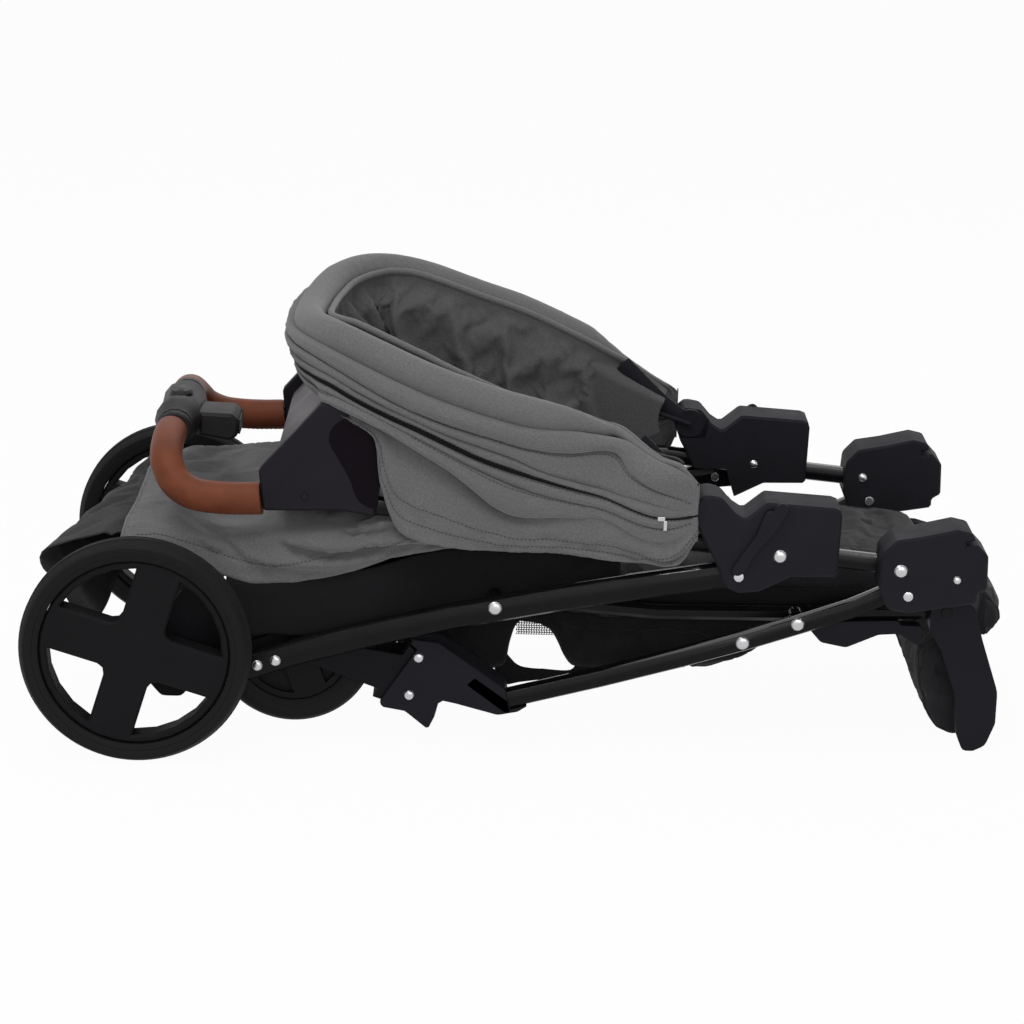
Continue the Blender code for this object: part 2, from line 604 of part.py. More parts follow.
for v in cover.verts:
    x, y, z = v.co
    v.co = (HUB_AT[0] + x * 0.72, z * 1.15, y)
bmesh.ops.recalc_face_normals(cover, faces=cover.faces[:])
fuse(hub, "hub_cover", cover)

# Front legs

FRONT_LEG_PATH = [(0.3702, 0.0530), (0.4627, 0.0775), (0.5430, 0.1005), (0.6049, 0.1195),
                  (SEAT_FRONT[0], 0.1380), (0.7122, 0.1570), FOLD]
down = Vector((cos(radians(SWIVEL_DEG)), sin(radians(SWIVEL_DEG))))
across = Vector((-down.y, down.x))
seat_line = Vector(SWIVEL) + down * 0.006


def from_swivel(a, b):
    """A point a metres towards the wheel and b metres across the swivel axis."""
    p = seat_line + down * a + across * b
    return (p.x, p.y)


FOOT = rounded([
    (*from_swivel(0, -0.037), 0), (*from_swivel(0, 0.030), 0.002), (0.2425, 0.0425, 0.003),
    (0.2660, 0.0385, 0.006), (0.2895, 0.0195, 0.002), (0.2961, 0.0333, 0.006),
    (0.3006, 0.0512, 0.004), (0.3177, 0.0476, 0.008), (0.3600, 0.0365, 0.012),
    (0.3800, 0.0405, 0.006), (0.3890, 0.0464, 0), (0.3735, 0.0423, 0),
    (0.3726, 0.0418, 0), (0.3667, 0.0640, 0), (0.2990, 0.1120, 0.006), (0.2640, 0.1160, 0.004)])
CROWN = [from_swivel(GAP, -0.033), from_swivel(GAP, 0.029), from_swivel(0.0080, 0.031),
         from_swivel(0.0080, -0.035)]

for label, side in SIDES:
    path = [(p[0], side * FRAME_Y, p[1]) for p in FRONT_LEG_PATH]
    leg = piece(f"front_leg_{label}", tube(path, TUBE_HALF_Y, FRONT_LEG_HALF_Z, 12, 2.6), TUBE,
                (FOLD[0], 0, FOLD[1]))
    cut(leg, f"front_bore_{label}", disc(FOLD, PIN_R + GAP, *y_pair(0.150, 0.190, side), steps=12))
    heads(leg, f"front_bolt_{label}", side * (FRAME_Y + TUBE_HALF_Y), side,
          [(SEAT_FRONT, BOLT_R), ((0.6042, 0.1200), BOLT_R)])
    foot = piece(f"front_foot_{label}", prism(FOOT, *y_pair(0.133, 0.1745, side), soften=0.0025), HINGE,
                 (FOLD[0], 0, FOLD[1]))
    heads(foot, f"foot_screw_{label}", side * 0.1745, side,
          [((0.2790, 0.0960), 0.0050), ((0.2700, 0.0560), 0.0050)])

    # The caster turns under the foot and carries the wheel in a fork.
    arm = rounded([
        (*from_swivel(0.0082, -0.024), 0.002), (*from_swivel(0.0082, 0.020), 0.002),
        (FRONT_WHEEL[0] + 0.004, FRONT_WHEEL[1] - 0.012, 0.010),
        (FRONT_WHEEL[0] - 0.012, FRONT_WHEEL[1] - 0.004, 0.010),
        (FRONT_WHEEL[0] - 0.002, FRONT_WHEEL[1] + 0.012, 0.010)])
    inner, outer = FRONT_WHEEL_Y - 0.0195, FRONT_WHEEL_Y + 0.0195
    crown = prism(CROWN, *y_pair(inner, outer, side))
    fork = piece(f"caster_fork_{label}", crown, HINGE,
                 (SWIVEL[0], side * FRONT_WHEEL_Y, SWIVEL[1]))
    for tag, (a, b) in (("in", (inner, inner + 0.0045)), ("out", (outer - 0.0045, outer))):
        plate = [from_swivel(0.004, -0.024), from_swivel(0.004, 0.020)] + arm[4:]
        fuse(fork, f"fork_{tag}_{label}", prism(plate, *y_pair(a, b, side)))
    fuse(fork, f"fork_pin_{label}",
         disc(FRONT_WHEEL, FRONT_AXLE_R, *y_pair(inner + 0.002, outer - 0.002, side), steps=12))

FRONT_CROSS = (0.3340, 0.0500)
piece("front_cross_tube", disc(FRONT_CROSS, 0.0085, -0.133 + GAP, 0.133 - GAP), TUBE, (FOLD[0], 0, FOLD[1]))

# Seat

FRONT_BAR = (0.7740, 0.1405)
KNEE_R = 0.0055
PLATE_IN, PLATE_OUT = 0.1270, 0.1465
SEAT_PATH = [SEAT_REAR, (0.4200, 0.1470), (0.5200, 0.1400), SEAT_FRONT, (0.7300, 0.1450), (0.7900, 0.1470)]
rails = [tube([(x, side * SEAT_Y, z) for x, z in SEAT_PATH], 0.0085, 0.0085, 8) for _, side in SIDES]
seat_frame = piece("seat_frame", rails[0], TUBE, (SEAT_REAR[0], 0, SEAT_REAR[1]))
extra = [("rail_far", rails[1])]
for tag, centre in (("bar_rear", BACK_HINGE), ("bar_front", FRONT_BAR)):
    extra.append((tag, disc(centre, BAR_R, -SEAT_Y, SEAT_Y, 10)))
extra.append(("bar_knee", disc(KNEE, KNEE_R, -PLATE_OUT - 0.001, PLATE_OUT + 0.001, 12)))
ear = rounded([(FRONT_BAR[0] - 0.009, FRONT_BAR[1], 0.008), (FRONT_BAR[0], FRONT_BAR[1] - 0.010, 0.008),
               (KNEE[0] + 0.004, KNEE[1] - 0.009, 0.006), (KNEE[0] + 0.010, KNEE[1], 0.006),
               (KNEE[0] + 0.002, KNEE[1] + 0.009, 0.006), (FRONT_BAR[0], FRONT_BAR[1] + 0.009, 0.008)])
for label, side in SIDES:
    extra.append((f"ear_{label}", prism(ear, *y_pair(PLATE_IN - 0.0080, PLATE_IN - GAP, side))))
    for tag, centre, end in (("boss_rear", SEAT_REAR, REAR_LEG_Y - TUBE_HALF_Y - GAP),
                             ("boss_front", SEAT_FRONT, FRAME_Y - TUBE_HALF_Y - 2 * GAP)):
        extra.append((f"{tag}_{label}", disc(centre, 0.0080, *y_pair(SEAT_Y, end, side), steps=12)))
for tag, bm in extra:
    fuse(seat_frame, f"seat_{tag}", bm)

SEAT_PLATE = rounded([
    (0.6680, 0.1334, 0.002), (0.6860, 0.1130, 0.008), (0.7120, 0.1080, 0.010), (0.7445, 0.1225, 0.012),
    (0.7650, 0.1240, 0.010), (0.7840, 0.1120, 0.006), (0.7890, 0.1180, 0.004), (0.7880, 0.1325, 0.003),
    (0.7665, 0.1330, 0), (0.7635, 0.1378, 0), (0.7300, 0.1366, 0)])
for label, side in SIDES:
    piece(f"seat_plate_{label}", prism(SEAT_PLATE, *y_pair(0.1290, 0.1460, side)), HINGE,
          (SEAT_REAR[0], 0, SEAT_REAR[1]))

# Backrest

BACK_RAIL = [(BACK_HINGE[0] - BAR_R - 0.0008, 0.1145, BACK_HINGE[1]), (0.420, 0.1145, 0.1480),
             (0.250, 0.1145, 0.1730), (0.060, 0.1145, 0.1830), (0.000, 0.1130, 0.1850), (-0.020, 0.1000, 0.1858),
             (-0.026, 0.0700, 0.1860), (-0.026, 0.0, 0.1860)]
near = [(x, -y, z) for x, y, z in BACK_RAIL]
path = smooth(near + [(x, y, z) for x, y, z in reversed(BACK_RAIL[:-1])], 2)
piece("back_rail", rod(path, 0.0050, 6), TUBE, (BACK_HINGE[0], 0, BACK_HINGE[1]))

BACK_PAD = rounded([(0.4350, 0.1580, 0.008), (0.2500, 0.1760, 0), (0.0600, 0.1830, 0),
                    (-0.0212, 0.1785, 0.003), (-0.0180, 0.2080, 0.006), (0.0450, 0.2152, 0),
                    (0.1250, 0.2220, 0), (0.2200, 0.2278, 0), (0.3300, 0.2228, 0), (0.4300, 0.2060, 0.010)])
piece("back_pad", cushion(BACK_PAD, 0.1060, 0.30), BLACK, (BACK_HINGE[0], 0, BACK_HINGE[1]))

COVER_X = [-0.0185, 0.010, 0.045, 0.085, 0.125, 0.170, 0.220, 0.275, 0.330, 0.385, 0.425]
COVER_TOP = [(-0.0185, 0.2150), (0.045, 0.2200), (0.125, 0.2270), (0.220, 0.2330), (0.330, 0.2280),
             (0.425, 0.2130)]
COVER_HEM = [(-0.0185, 0.2000), (0.010, 0.2010), (0.058, 0.1890), (0.108, 0.1745), (0.150, 0.1760),
             (0.1885, 0.1811), (0.308, 0.2040), (0.425, 0.2060)]
COVER_Y = 0.1675
grid = []
for x in COVER_X:
    top, hem = table(x, COVER_TOP), table(x, COVER_HEM)
    ripple = 0.0008 * sin(x * 110)
    row = [(x, -COVER_Y - ripple, hem), (x, -COVER_Y + ripple, (hem * 0.45 + top * 0.55) - 0.003),
           (x, -COVER_Y + 0.007, top - 0.0025), (x, -0.130, top), (x, -0.065, top - 0.0015),
           (x, 0.0, top - 0.003)]
    grid.append(row + [(a, -b, c) for a, b, c in reversed(row[:-1])])
piece("back_cover", sheet(grid, CLOTH), GREY, (BACK_HINGE[0], 0, BACK_HINGE[1]))

FLAP_START = COVER_X[0] - 0.0008
grid = []
for k in range(9):
    t = k / 8
    y = -0.150 + 0.300 * t
    reach = 0.066 * (1 - t) ** 1.15 + 0.0136
    top = 0.2120
    grid.append([(FLAP_START, y, top), (FLAP_START - reach * 0.5, y, top - 0.009 * (1 - t) - 0.002),
                 (FLAP_START - reach, y, top - 0.014 * (1 - t) - 0.004),
                 (FLAP_START - reach - 0.004, y, top - 0.022 * (1 - t) - 0.012),
                 (FLAP_START - reach * 0.80, y, top - 0.040 * (1 - t) - 0.020),
                 (FLAP_START - reach * 0.45 + 0.006, y, top - 0.058 * (1 - t) - 0.030)])
piece("head_flap", sheet(grid, CLOTH), SHADED, (BACK_HINGE[0], 0, BACK_HINGE[1]))

SEAT_PAD = rounded([(0.4750, 0.1480, 0.006), (0.5600, 0.1476, 0), (0.7760, 0.1471, 0),
                    (0.8020, 0.1570, 0.006), (0.8100, 0.1850, 0.010), (0.7300, 0.1950, 0),
                    (0.5600, 0.1880, 0), (0.4760, 0.1720, 0.008)])
piece("seat_pad", cushion(SEAT_PAD, 0.1240, 0.28), BLACK, (SEAT_REAR[0], 0, SEAT_REAR[1]))

# Leg rest

LEG_PLATE = rounded([
    (KNEE[0] - 0.016, KNEE[1] + 0.004, 0.010), (KNEE[0] - 0.002, KNEE[1] + 0.0165, 0.010),
    (0.8400, 0.1560, 0.008), (0.8500, 0.1200, 0.02), (0.8690, 0.0645, 0.03), (0.8690, 0.0300, 0.012),
    (0.8600, 0.0060, 0.010), (0.8480, 0.0, 0.006), (0.8370, 0.0, 0.006), (0.8300, 0.0180, 0.010),
    (0.8260, 0.0600, 0.02), (0.8100, 0.1050, 0.02), (0.7960, 0.1290, 0.008)])
for label, side in SIDES:
    plate = prism(LEG_PLATE, *y_pair(PLATE_IN, PLATE_OUT, side), [circle(KNEE, KNEE_R + GAP, 12)],
                  soften=0.0030)
    piece(f"leg_plate_{label}", plate, HINGE, (KNEE[0], 0, KNEE[1]))
LEG_PAD = rounded([(0.8180, 0.1240, 0.008), (0.8420, 0.1200, 0.008), (0.8600, 0.0640, 0),
                   (0.8620, 0.0300, 0), (0.8520, 0.0050, 0.010), (0.8330, 0.0015, 0),
                   (0.8130, 0.0090, 0), (0.7980, 0.0340, 0), (0.7895, 0.0620, 0),
                   (0.7850, 0.0980, 0.008), (0.7960, 0.1080, 0)])
piece("leg_pad", cushion(LEG_PAD, PLATE_IN - 0.0006, 0.10), SHADED, (KNEE[0], 0, KNEE[1]))
roll = [(0.8455, 0.1780), (0.8640, 0.1655), (0.8770, 0.1450), (0.8765, 0.1240), (0.8640, 0.1090),
        (0.8488, 0.1020), (0.8430, 0.1180), (0.8470, 0.1420)]
piece("knee_roll", cushion(rounded([(x, z, 0.010) for x, z in roll]), 0.1250, 0.35, 3), BLACK,
      (KNEE[0], 0, KNEE[1]))

# Canopy

ROLL_PATH = [(0.4900, -0.1600, 0.3230), (0.4133, -0.1650, 0.3429), (0.3497, -0.1680, 0.3586),
             (0.2861, -0.1670, 0.3798), (0.2326, -0.1600, 0.4030), (0.1880, -0.1400, 0.4190),
             (0.1630, -0.1000, 0.4220), (0.1530, -0.0500, 0.4180), (0.1540, 0.0, 0.4170),
             (0.1610, 0.0550, 0.4200), (0.1760, 0.1080, 0.4260), (0.2056, 0.1480, 0.4270),
             (0.2400, 0.1650, 0.4225), (0.2772, 0.1680, 0.4136), (0.3264, 0.1680, 0.3971),
             (0.3822, 0.1670, 0.3790), (0.4385, 0.1640, 0.3537), (0.4846, 0.1600, 0.3303)]
PIVOT = Vector((CANOPY[0], 0, CANOPY[1]))


def polar(p):
    """Radius and angle of a point about the canopy's pivot line."""
    dx, dz = p[0] - CANOPY[0], p[2] - CANOPY[1]
    return hypot(dx, dz), degrees(atan2(dz, dx)) % 360


def unpolar(radius, angle, y):
    return (CANOPY[0] + radius * cos(radians(angle)), y, CANOPY[1] + radius * sin(radians(angle)))


roll_path = smooth(ROLL_PATH, 2)
piece("canopy_roll", rod(roll_path, ROLL_R, 8), GREY, PIVOT)

ZIP = [(0.041, 199.7), (0.108, 177.0), (0.212, 169.5), (0.3177, 165.6), (0.423, 162.8), (0.444, 164.4)]
HEM = [(0.043, 242.0), (0.091, 223.8), (0.1646, 199.1), (0.260, 191.2), (0.306, 187.7), (0.318, 178.0),
       (0.333, 167.6), (0.345, 165.6), (0.400, 165.4), (0.423, 166.0), (0.444, 167.6)]
SIDE_START = [(0.046, 118.0), (0.072, 130.0)]
OUTWARD = 0.0155                   # the cloth meets the roll this far out from its middle
BELOW = 0.0104                     # and this far below it
columns = [(radius, -0.184, angle) for radius, angle in SIDE_START]
for i, p in enumerate(roll_path):
    along = roll_path[min(i + 1, len(roll_path) - 1)] - roll_path[max(i - 1, 0)]
    r0, _ = polar(roll_path[max(i - 1, 0)])
    r1, _ = polar(roll_path[min(i + 1, len(roll_path) - 1)])
    flat = Vector((along.y, r1 - r0)).normalized()
    r, a = polar(p)
    r_out, y_out = r + flat.x * OUTWARD, p.y - flat.y * OUTWARD
    if r_out < 0.345:
        y_out = max(abs(y_out), 0.1805) * (1 if y_out > 0 else -1)
    columns.append((r_out, y_out, a + degrees(BELOW / r)))
columns += [(radius, 0.184, angle) for radius, angle in reversed(SIDE_START)]


def pleated(first, last, rows, pleats):
    """The canopy cloth between two angles, folded like a fan at its outer side."""
    grid = []
    for i, (radius, y, _) in enumerate(columns):
        a0, a1 = first(i), last(i)
        line = []
        for k in range(rows + 1):
            t = k / rows
            fold = 0.0022 * (1 - cos(2 * pi * pleats * t))
            side = 1 if y > 0 else -1
            cross = 1 - min(1.0, abs(y) / 0.150) ** 4
            line.append(unpolar(radius + fold * cross, a0 + (a1 - a0) * t,
                                y + side * fold * (1 - cross)))
        grid.append(line)
    return grid


ZIP_GAP = 0.0009
front = pleated(lambda i: columns[i][2],
                lambda i: table(columns[i][0], ZIP) - degrees(ZIP_GAP / columns[i][0]), 4, 1)
piece("canopy_front_cloth", sheet(front, CLOTH), GREY, PIVOT)
rear = pleated(lambda i: table(columns[i][0], ZIP) + degrees(ZIP_GAP / columns[i][0]),
               lambda i: table(columns[i][0], HEM), 6, 2)
piece("canopy_rear_cloth", sheet(rear, CLOTH), GREY, PIVOT)

# Flat arms carry the bows; the front one ends in the padded roll.
for label, side in SIDES:
    start, behind = (roll_path[0], roll_path[2]) if side < 0 else (roll_path[-1], roll_path[-3])
    tip = start + (start - behind).normalized() * 0.0040
    path = smooth([(CANOPY[0], 0, CANOPY[1]), (0.5330, 0, 0.2850), (tip.x, 0, tip.z)], 3)
    middle = side * (ARM_Y[0] + ARM_Y[1]) / 2
    arm = tube([(p.x, middle, p.z) for p in path], (ARM_Y[1] - ARM_Y[0]) / 2, 0.0085, 8, 5)
    arm = piece(f"bow_arm_{label}", arm, HINGE, PIVOT)
    fuse(arm, f"arm_eye_{label}", disc(CANOPY, 0.0155, *y_pair(*ARM_Y, side), steps=16))

bow = [(CANOPY[0], 0.1467, CANOPY[1]), (0.5200, 0.1467, 0.2780), (0.4200, 0.1470, 0.3050),
       (0.3000, 0.1470, 0.3420), (0.2250, 0.1400, 0.3700), (0.1850, 0.1150, 0.3860),
       (0.1720, 0.0700, 0.3920), (0.1700, 0.0, 0.3925)]
path = smooth([(x, -y, z) for x, y, z in bow] + [(x, y, z) for x, y, z in reversed(bow[:-1])], 1)
piece("mid_bow", rod(path, 0.0030, 6), HINGE, PIVOT)

# Basket

# The bag hangs under the seat from the wheels to the front legs, over the front cross tube.
RIM_Z = BACK_HINGE[1] - BAR_R - GAP      # the rim is sewn to the rear cross bar
BASKET_RIM = [(0.105, 0.1480), (0.300, 0.1460), (0.400, 0.1340), (BACK_HINGE[0], RIM_Z),
              (0.640, 0.1270)]
BASKET_SOLE = [(0.105, 0.1480), (0.115, 0.1130), (0.150, 0.1000), (0.240, 0.0950), (0.318, 0.0910),
               (0.404, 0.0880), (0.430, 0.0790), (0.450, 0.0710), (0.500, 0.0700),
               (0.592, 0.0770), (0.629, 0.1000), (0.640, 0.1270)]
BASKET_WALL = SEAT_Y - 0.0195
grid = []
for x, z in smooth(BASKET_SOLE, 2):
    rim = max(table(x, BASKET_RIM), z)
    droop = min(1.0, (rim - z) / 0.045)
    half = [(x, -BASKET_WALL, rim), (x, -BASKET_WALL + 0.002 - 0.004 * droop, (rim + z) / 2),
            (x, -BASKET_WALL + 0.014, z + 0.004 * droop)]
    grid.append(half + [(x, 0.0, z - 0.001)] + [(a, -b, c) for a, b, c in reversed(half)])
piece("basket", sheet(grid, CLOTH), BLACK, (SEAT_REAR[0], 0, SEAT_REAR[1]))

# Origin

MIDDLE_X = 0.3775
for made in list(pram.objects) + list(cutters.objects):
    made.location.x -= MIDDLE_X
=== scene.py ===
"""The folded pram's visual model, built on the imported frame.

Side-view positions are the same (x, y, z) as in the CAD source: x from the
rear axle, y across, z up.  world() moves them to the shared frame.
"""
from math import atan2, cos, degrees, hypot, pi, radians, sin, sqrt

import bmesh
import bpy
from mathutils import Matrix, Vector, geometry, noise
from mathutils.bvhtree import BVHTree

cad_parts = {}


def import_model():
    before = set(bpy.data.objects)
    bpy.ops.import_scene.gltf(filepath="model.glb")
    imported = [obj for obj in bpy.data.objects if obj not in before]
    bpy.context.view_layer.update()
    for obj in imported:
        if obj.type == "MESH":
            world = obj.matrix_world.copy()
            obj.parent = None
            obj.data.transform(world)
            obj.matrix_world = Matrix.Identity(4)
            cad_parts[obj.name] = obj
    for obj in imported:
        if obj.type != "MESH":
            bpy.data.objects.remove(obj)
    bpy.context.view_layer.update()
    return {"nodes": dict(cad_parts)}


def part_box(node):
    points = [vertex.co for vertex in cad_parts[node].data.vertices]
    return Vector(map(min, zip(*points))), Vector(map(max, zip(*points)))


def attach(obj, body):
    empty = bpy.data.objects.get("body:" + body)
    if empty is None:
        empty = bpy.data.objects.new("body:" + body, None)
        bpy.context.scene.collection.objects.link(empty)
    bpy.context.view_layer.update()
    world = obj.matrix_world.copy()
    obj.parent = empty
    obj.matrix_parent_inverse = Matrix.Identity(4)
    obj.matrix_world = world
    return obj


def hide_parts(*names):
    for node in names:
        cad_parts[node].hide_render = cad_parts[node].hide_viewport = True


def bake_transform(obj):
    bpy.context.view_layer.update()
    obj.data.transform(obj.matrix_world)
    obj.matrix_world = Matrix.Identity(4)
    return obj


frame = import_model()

MIDDLE_X = 0.3775
SIDES = (("near", -1.0), ("far", 1.0))


def world(p):
    return Vector((p[0] - MIDDLE_X, p[1], p[2]))


def placed(name, data):
    """A new object in the scene."""
    made = bpy.data.objects.new(name, data)
    bpy.context.scene.collection.objects.link(made)
    return made


def shaded_smooth(mesh):
    mesh.polygons.foreach_set("use_smooth", [True] * len(mesh.polygons))


def rounded_edges(piece, width, segments=2, limit=30):
    edge = piece.modifiers.new("edges", "BEVEL")
    edge.width = width
    edge.segments = segments
    edge.limit_method = "ANGLE"
    edge.angle_limit = radians(limit)
    edge.harden_normals = True


# Materials


def linear(value):
    value /= 255
    return value / 12.92 if value <= 0.04045 else ((value + 0.055) / 1.055) ** 2.4


def colour(rgb, gain=1.0):
    return [min(1.0, linear(c) * gain) for c in rgb] + [1.0]


def new_node(tree, kind, links=(), **values):
    """A new node with its own settings and socket values, and with links to its sockets."""
    made = tree.nodes.new("ShaderNode" + kind)
    for key, value in values.items():
        if hasattr(made, key):
            setattr(made, key, value)
        else:
            made.inputs[key.replace("_", " ")].default_value = value
    for socket, source in links:
        tree.links.new(source, made.inputs[socket])
    return made


class Shader:
    """A Principled material with helpers for the nodes that feed it."""

    def __init__(self, name, roughness, **sockets):
        self.mat = bpy.data.materials.new(name)
        self.mat.use_nodes = True
        self.tree = self.mat.node_tree
        self.main = self.tree.nodes["Principled BSDF"]
        self.main.inputs["Roughness"].default_value = roughness
        self.place = self.node("TexCoord").outputs["Object"]
        for key, value in sockets.items():
            self.main.inputs[key.replace("_", " ")].default_value = value

    def node(self, kind, links=(), **values):
        return new_node(self.tree, kind, links, **values)

    def noise(self, coords, scale, detail=3.0, rough=0.6):
        return self.node("TexNoise", [("Vector", coords)], Scale=scale, Detail=detail,
                         Roughness=rough).outputs["Fac"]

    def mixed(self, factor, a, b):
        made = self.node("Mix", [("Factor", factor)], data_type="RGBA")
        for socket, value in zip((s for s in made.inputs if s.type == "RGBA"), (a, b)):
            if isinstance(value, list):
                socket.default_value = value
            else:
                self.tree.links.new(value, socket)
        return [s for s in made.outputs if s.type == "RGBA"][0]

    def ranged(self, factor, low, high, a=0.35, b=0.65):
        return self.node("MapRange", [("Value", factor)], From_Min=a, From_Max=b, To_Min=low,
                         To_Max=high).outputs[0]

    def uneven(self, factor, rgb, low, high):
        """The colour, from darker to lighter by the factor."""
        return self.mixed(self.ranged(factor, 0.0, 1.0), colour(rgb, low), colour(rgb, high))

    def bump(self, height, strength, distance, normal=None):
        links = [("Height", height)] + ([("Normal", normal)] if normal else [])
        return self.node("Bump", links, Strength=strength, Distance=distance).outputs[0]

    def feed(self, socket, source):
        self.tree.links.new(source, self.main.inputs[socket])


def woven(name, rgb, spread=0.26, threads=1150.0, fuzz=0.25, weave=0.35):
    """Woven cloth: threads both ways, heathered colour, soft unevenness and a little fuzz."""
    s = Shader(name, 0.92, Sheen_Weight=fuzz, Sheen_Roughness=0.6, Specular_IOR_Level=0.12)
    uv = s.node("UVMap", uv_map="cloth").outputs[0]
    heather = s.noise(uv, 430.0, 4.0, 0.85)
    cloud = s.noise(s.place, 16.0, 3.0)
    base = s.uneven(heather, rgb, 1 - spread, 1 + spread)
    s.feed("Base Color", s.mixed(s.ranged(cloud, 0.0, 0.22), base, colour(rgb, 0.72)))
    warp, weft = (s.node("TexWave", [("Vector", uv)], bands_direction=way, Scale=threads / 6.28,
                         Distortion=1.2, Detail=1.0).outputs["Fac"] for way in "XY")
    both = s.node("Math", [(0, warp), (1, weft)], operation="MULTIPLY")
    soft = s.bump(s.noise(s.place, 60.0, 4.0), 0.35, 0.0025)
    s.feed("Normal", s.bump(both.outputs[0], weave, 0.0004, soft))
    return s.mat


def moulded(name, rgb, roughness, grain=1500.0, depth=0.12, spread=0.1, gloss=0.5, metal=0.0):
    """Moulded or painted surface: fine grain, uneven gloss and faint scuffs."""
    s = Shader(name, roughness, Specular_IOR_Level=gloss, Metallic=metal)
    cloud = s.noise(s.place, 22.0, 4.0)
    scuff = s.ranged(s.noise(s.place, 260.0, 6.0, 0.75), 0.0, 1.0, 0.6, 0.74)
    base = s.uneven(cloud, rgb, 1 - spread, 1 + spread)
    s.feed("Base Color", s.mixed(s.ranged(scuff, 0.0, 0.3, 0.0, 1.0), base, colour(rgb, 1.9)))
    s.feed("Roughness", s.ranged(cloud, roughness - 0.05, roughness + 0.07))
    s.feed("Normal", s.bump(s.noise(s.place, grain, 2.0), depth, 0.0003))
    return s.mat


GREY = woven("cloth_grey", (101, 101, 102))
# Painted shade: a darker copy of the grey cloth for the canopy's lining, which hangs in shade inside the
# ring.
SHADED = woven("cloth_lining", (80, 80, 81), fuzz=0.1)
BLACK = woven("cloth_black", (34, 33, 36), spread=0.22, fuzz=0.12)
# The head flap's darker grey is partly its own lining colour and partly painted shade for its underside,
# which faces away from the light.
LINER_AND_SHADE = woven("cloth_liner", (52, 52, 53), fuzz=0.08)
DARK = woven("cloth_seat_black", (19, 19, 21), spread=0.22, fuzz=0.05)
TAPE = woven("tape_black", (22, 22, 25), threads=2200.0, fuzz=0.05)
THREAD = moulded("thread_grey", (74, 74, 76), 0.85, gloss=0.1)
DARK_THREAD = moulded("thread_black", (40, 39, 43), 0.85, gloss=0.2)
RUBBER = moulded("rubber", (26, 26, 27), 0.7, 900.0, 0.25, gloss=0.1)
WHEEL = moulded("wheel_plastic", (22, 22, 24), 0.55, 1300.0, 0.2, gloss=0.07)
HINGE = moulded("hinge_plastic", (31, 30, 35), 0.58, 1400.0, 0.22, gloss=0.07)
FOOT = moulded("foot_plastic", (22, 21, 24), 0.55, 1400.0, 0.22, gloss=0.07)
HUB = moulded("hub_plastic", (36, 34, 36), 0.5, 1400.0, 0.2, gloss=0.12)
CONSOLE = moulded("console_plastic", (32, 30, 35), 0.55, 1500.0, 0.22, gloss=0.07)
# Painted light: the tray plastic is the console's own tint made lighter and glossier, standing in for light
# on the tray's upward face.
TRAY_PAINTED_LIGHT = moulded("tray_plastic", (72, 67, 72), 0.55, 1500.0, 0.22, gloss=0.3)
STEEL = moulded("bolt_steel", (190, 190, 192), 0.26, 300.0, 0.04, 0.05, metal=1.0)
AXLE = moulded("axle_steel", (120, 120, 124), 0.35, 300.0, 0.04, 0.05, metal=1.0)


def leather(name, rgb):
    s = Shader(name, 0.5, Specular_IOR_Level=0.14)
    cell = s.node("TexVoronoi", [("Vector", s.place)], feature="DISTANCE_TO_EDGE", Scale=620.0)
    cloud = s.noise(s.place, 34.0, 5.0)
    base = s.uneven(cloud, rgb, 0.82, 1.16)
    s.feed("Base Color", s.mixed(s.ranged(cell.outputs[0], 0.35, 0.0, 0.0, 0.05), base, colour(rgb, 0.55)))
    s.feed("Roughness", s.ranged(cloud, 0.44, 0.58))
    s.feed("Normal", s.bump(cell.outputs[0], 0.25, 0.0005))
    return s.mat


def lacquer(name, rgb):
    """Black lacquer, most polished on the upper edges of the tubes."""
    s = Shader(name, 0.2)
    up = s.node("SeparateXYZ", [("Vector", s.node("TexCoord").outputs["Normal"])]).outputs["Z"]
    cloud = s.noise(s.place, 22.0, 4.0)
    s.feed("Base Color", s.uneven(cloud, rgb, 0.9, 1.1))
    s.feed("Specular IOR Level", s.ranged(up, 0.12, 0.9, 0.3, 0.6))
    s.feed("Roughness", s.ranged(up, 0.34, 0.12, 0.3, 0.6))
    return s.mat


GRIP = leather("grip_leather", (108, 58, 38))
TUBE = lacquer("tube_lacquer", (12, 12, 14))
# Painted shade: a very dark, nearly matt plate on the console wing stands in for the shadow in the wing's
# recess.
RECESS_SHADE = moulded("recess_plastic", (16, 11, 17), 0.45, 1500.0, 0.15, gloss=0.04)
FINISH = {"tyre_rubber": RUBBER, "wheel_plastic": WHEEL, "frame_lacquer": TUBE, "hinge_plastic": HINGE,
          "bolt_steel": STEEL, "axle_steel": AXLE, "grip_leather": GRIP, "hub_plastic": HUB,
          "console_plastic": CONSOLE, "tray_plastic": TRAY_PAINTED_LIGHT, "grey_fabric": GREY,
          "lining_fabric": SHADED, "black_fabric": BLACK}

# The hard CAD nodes keep their shape and take rounded edges and a detailed finish.

DARK_NODES = ("foot", "rear_bracket", "caster", "brake")
WELD_GAP = 0.00002
for node_name, node in frame["nodes"].items():
    own = node.data.materials[0].name.split(".")[0]
    node.data.materials.clear()
    dark = own == "hinge_plastic" and node_name.startswith(DARK_NODES)
    node.data.materials.append(FOOT if dark else FINISH[own])
    if "custom_normal" in node.data.attributes:
        node.data.attributes.remove(node.data.attributes["custom_normal"])
    shaded_smooth(node.data)
    node.modifiers.new("weld", "WELD").merge_threshold = WELD_GAP
    rounded_edges(node, *((0.0022, 3) if own == "frame_lacquer" else (0.0007, 2)), limit=38)

# Shapes


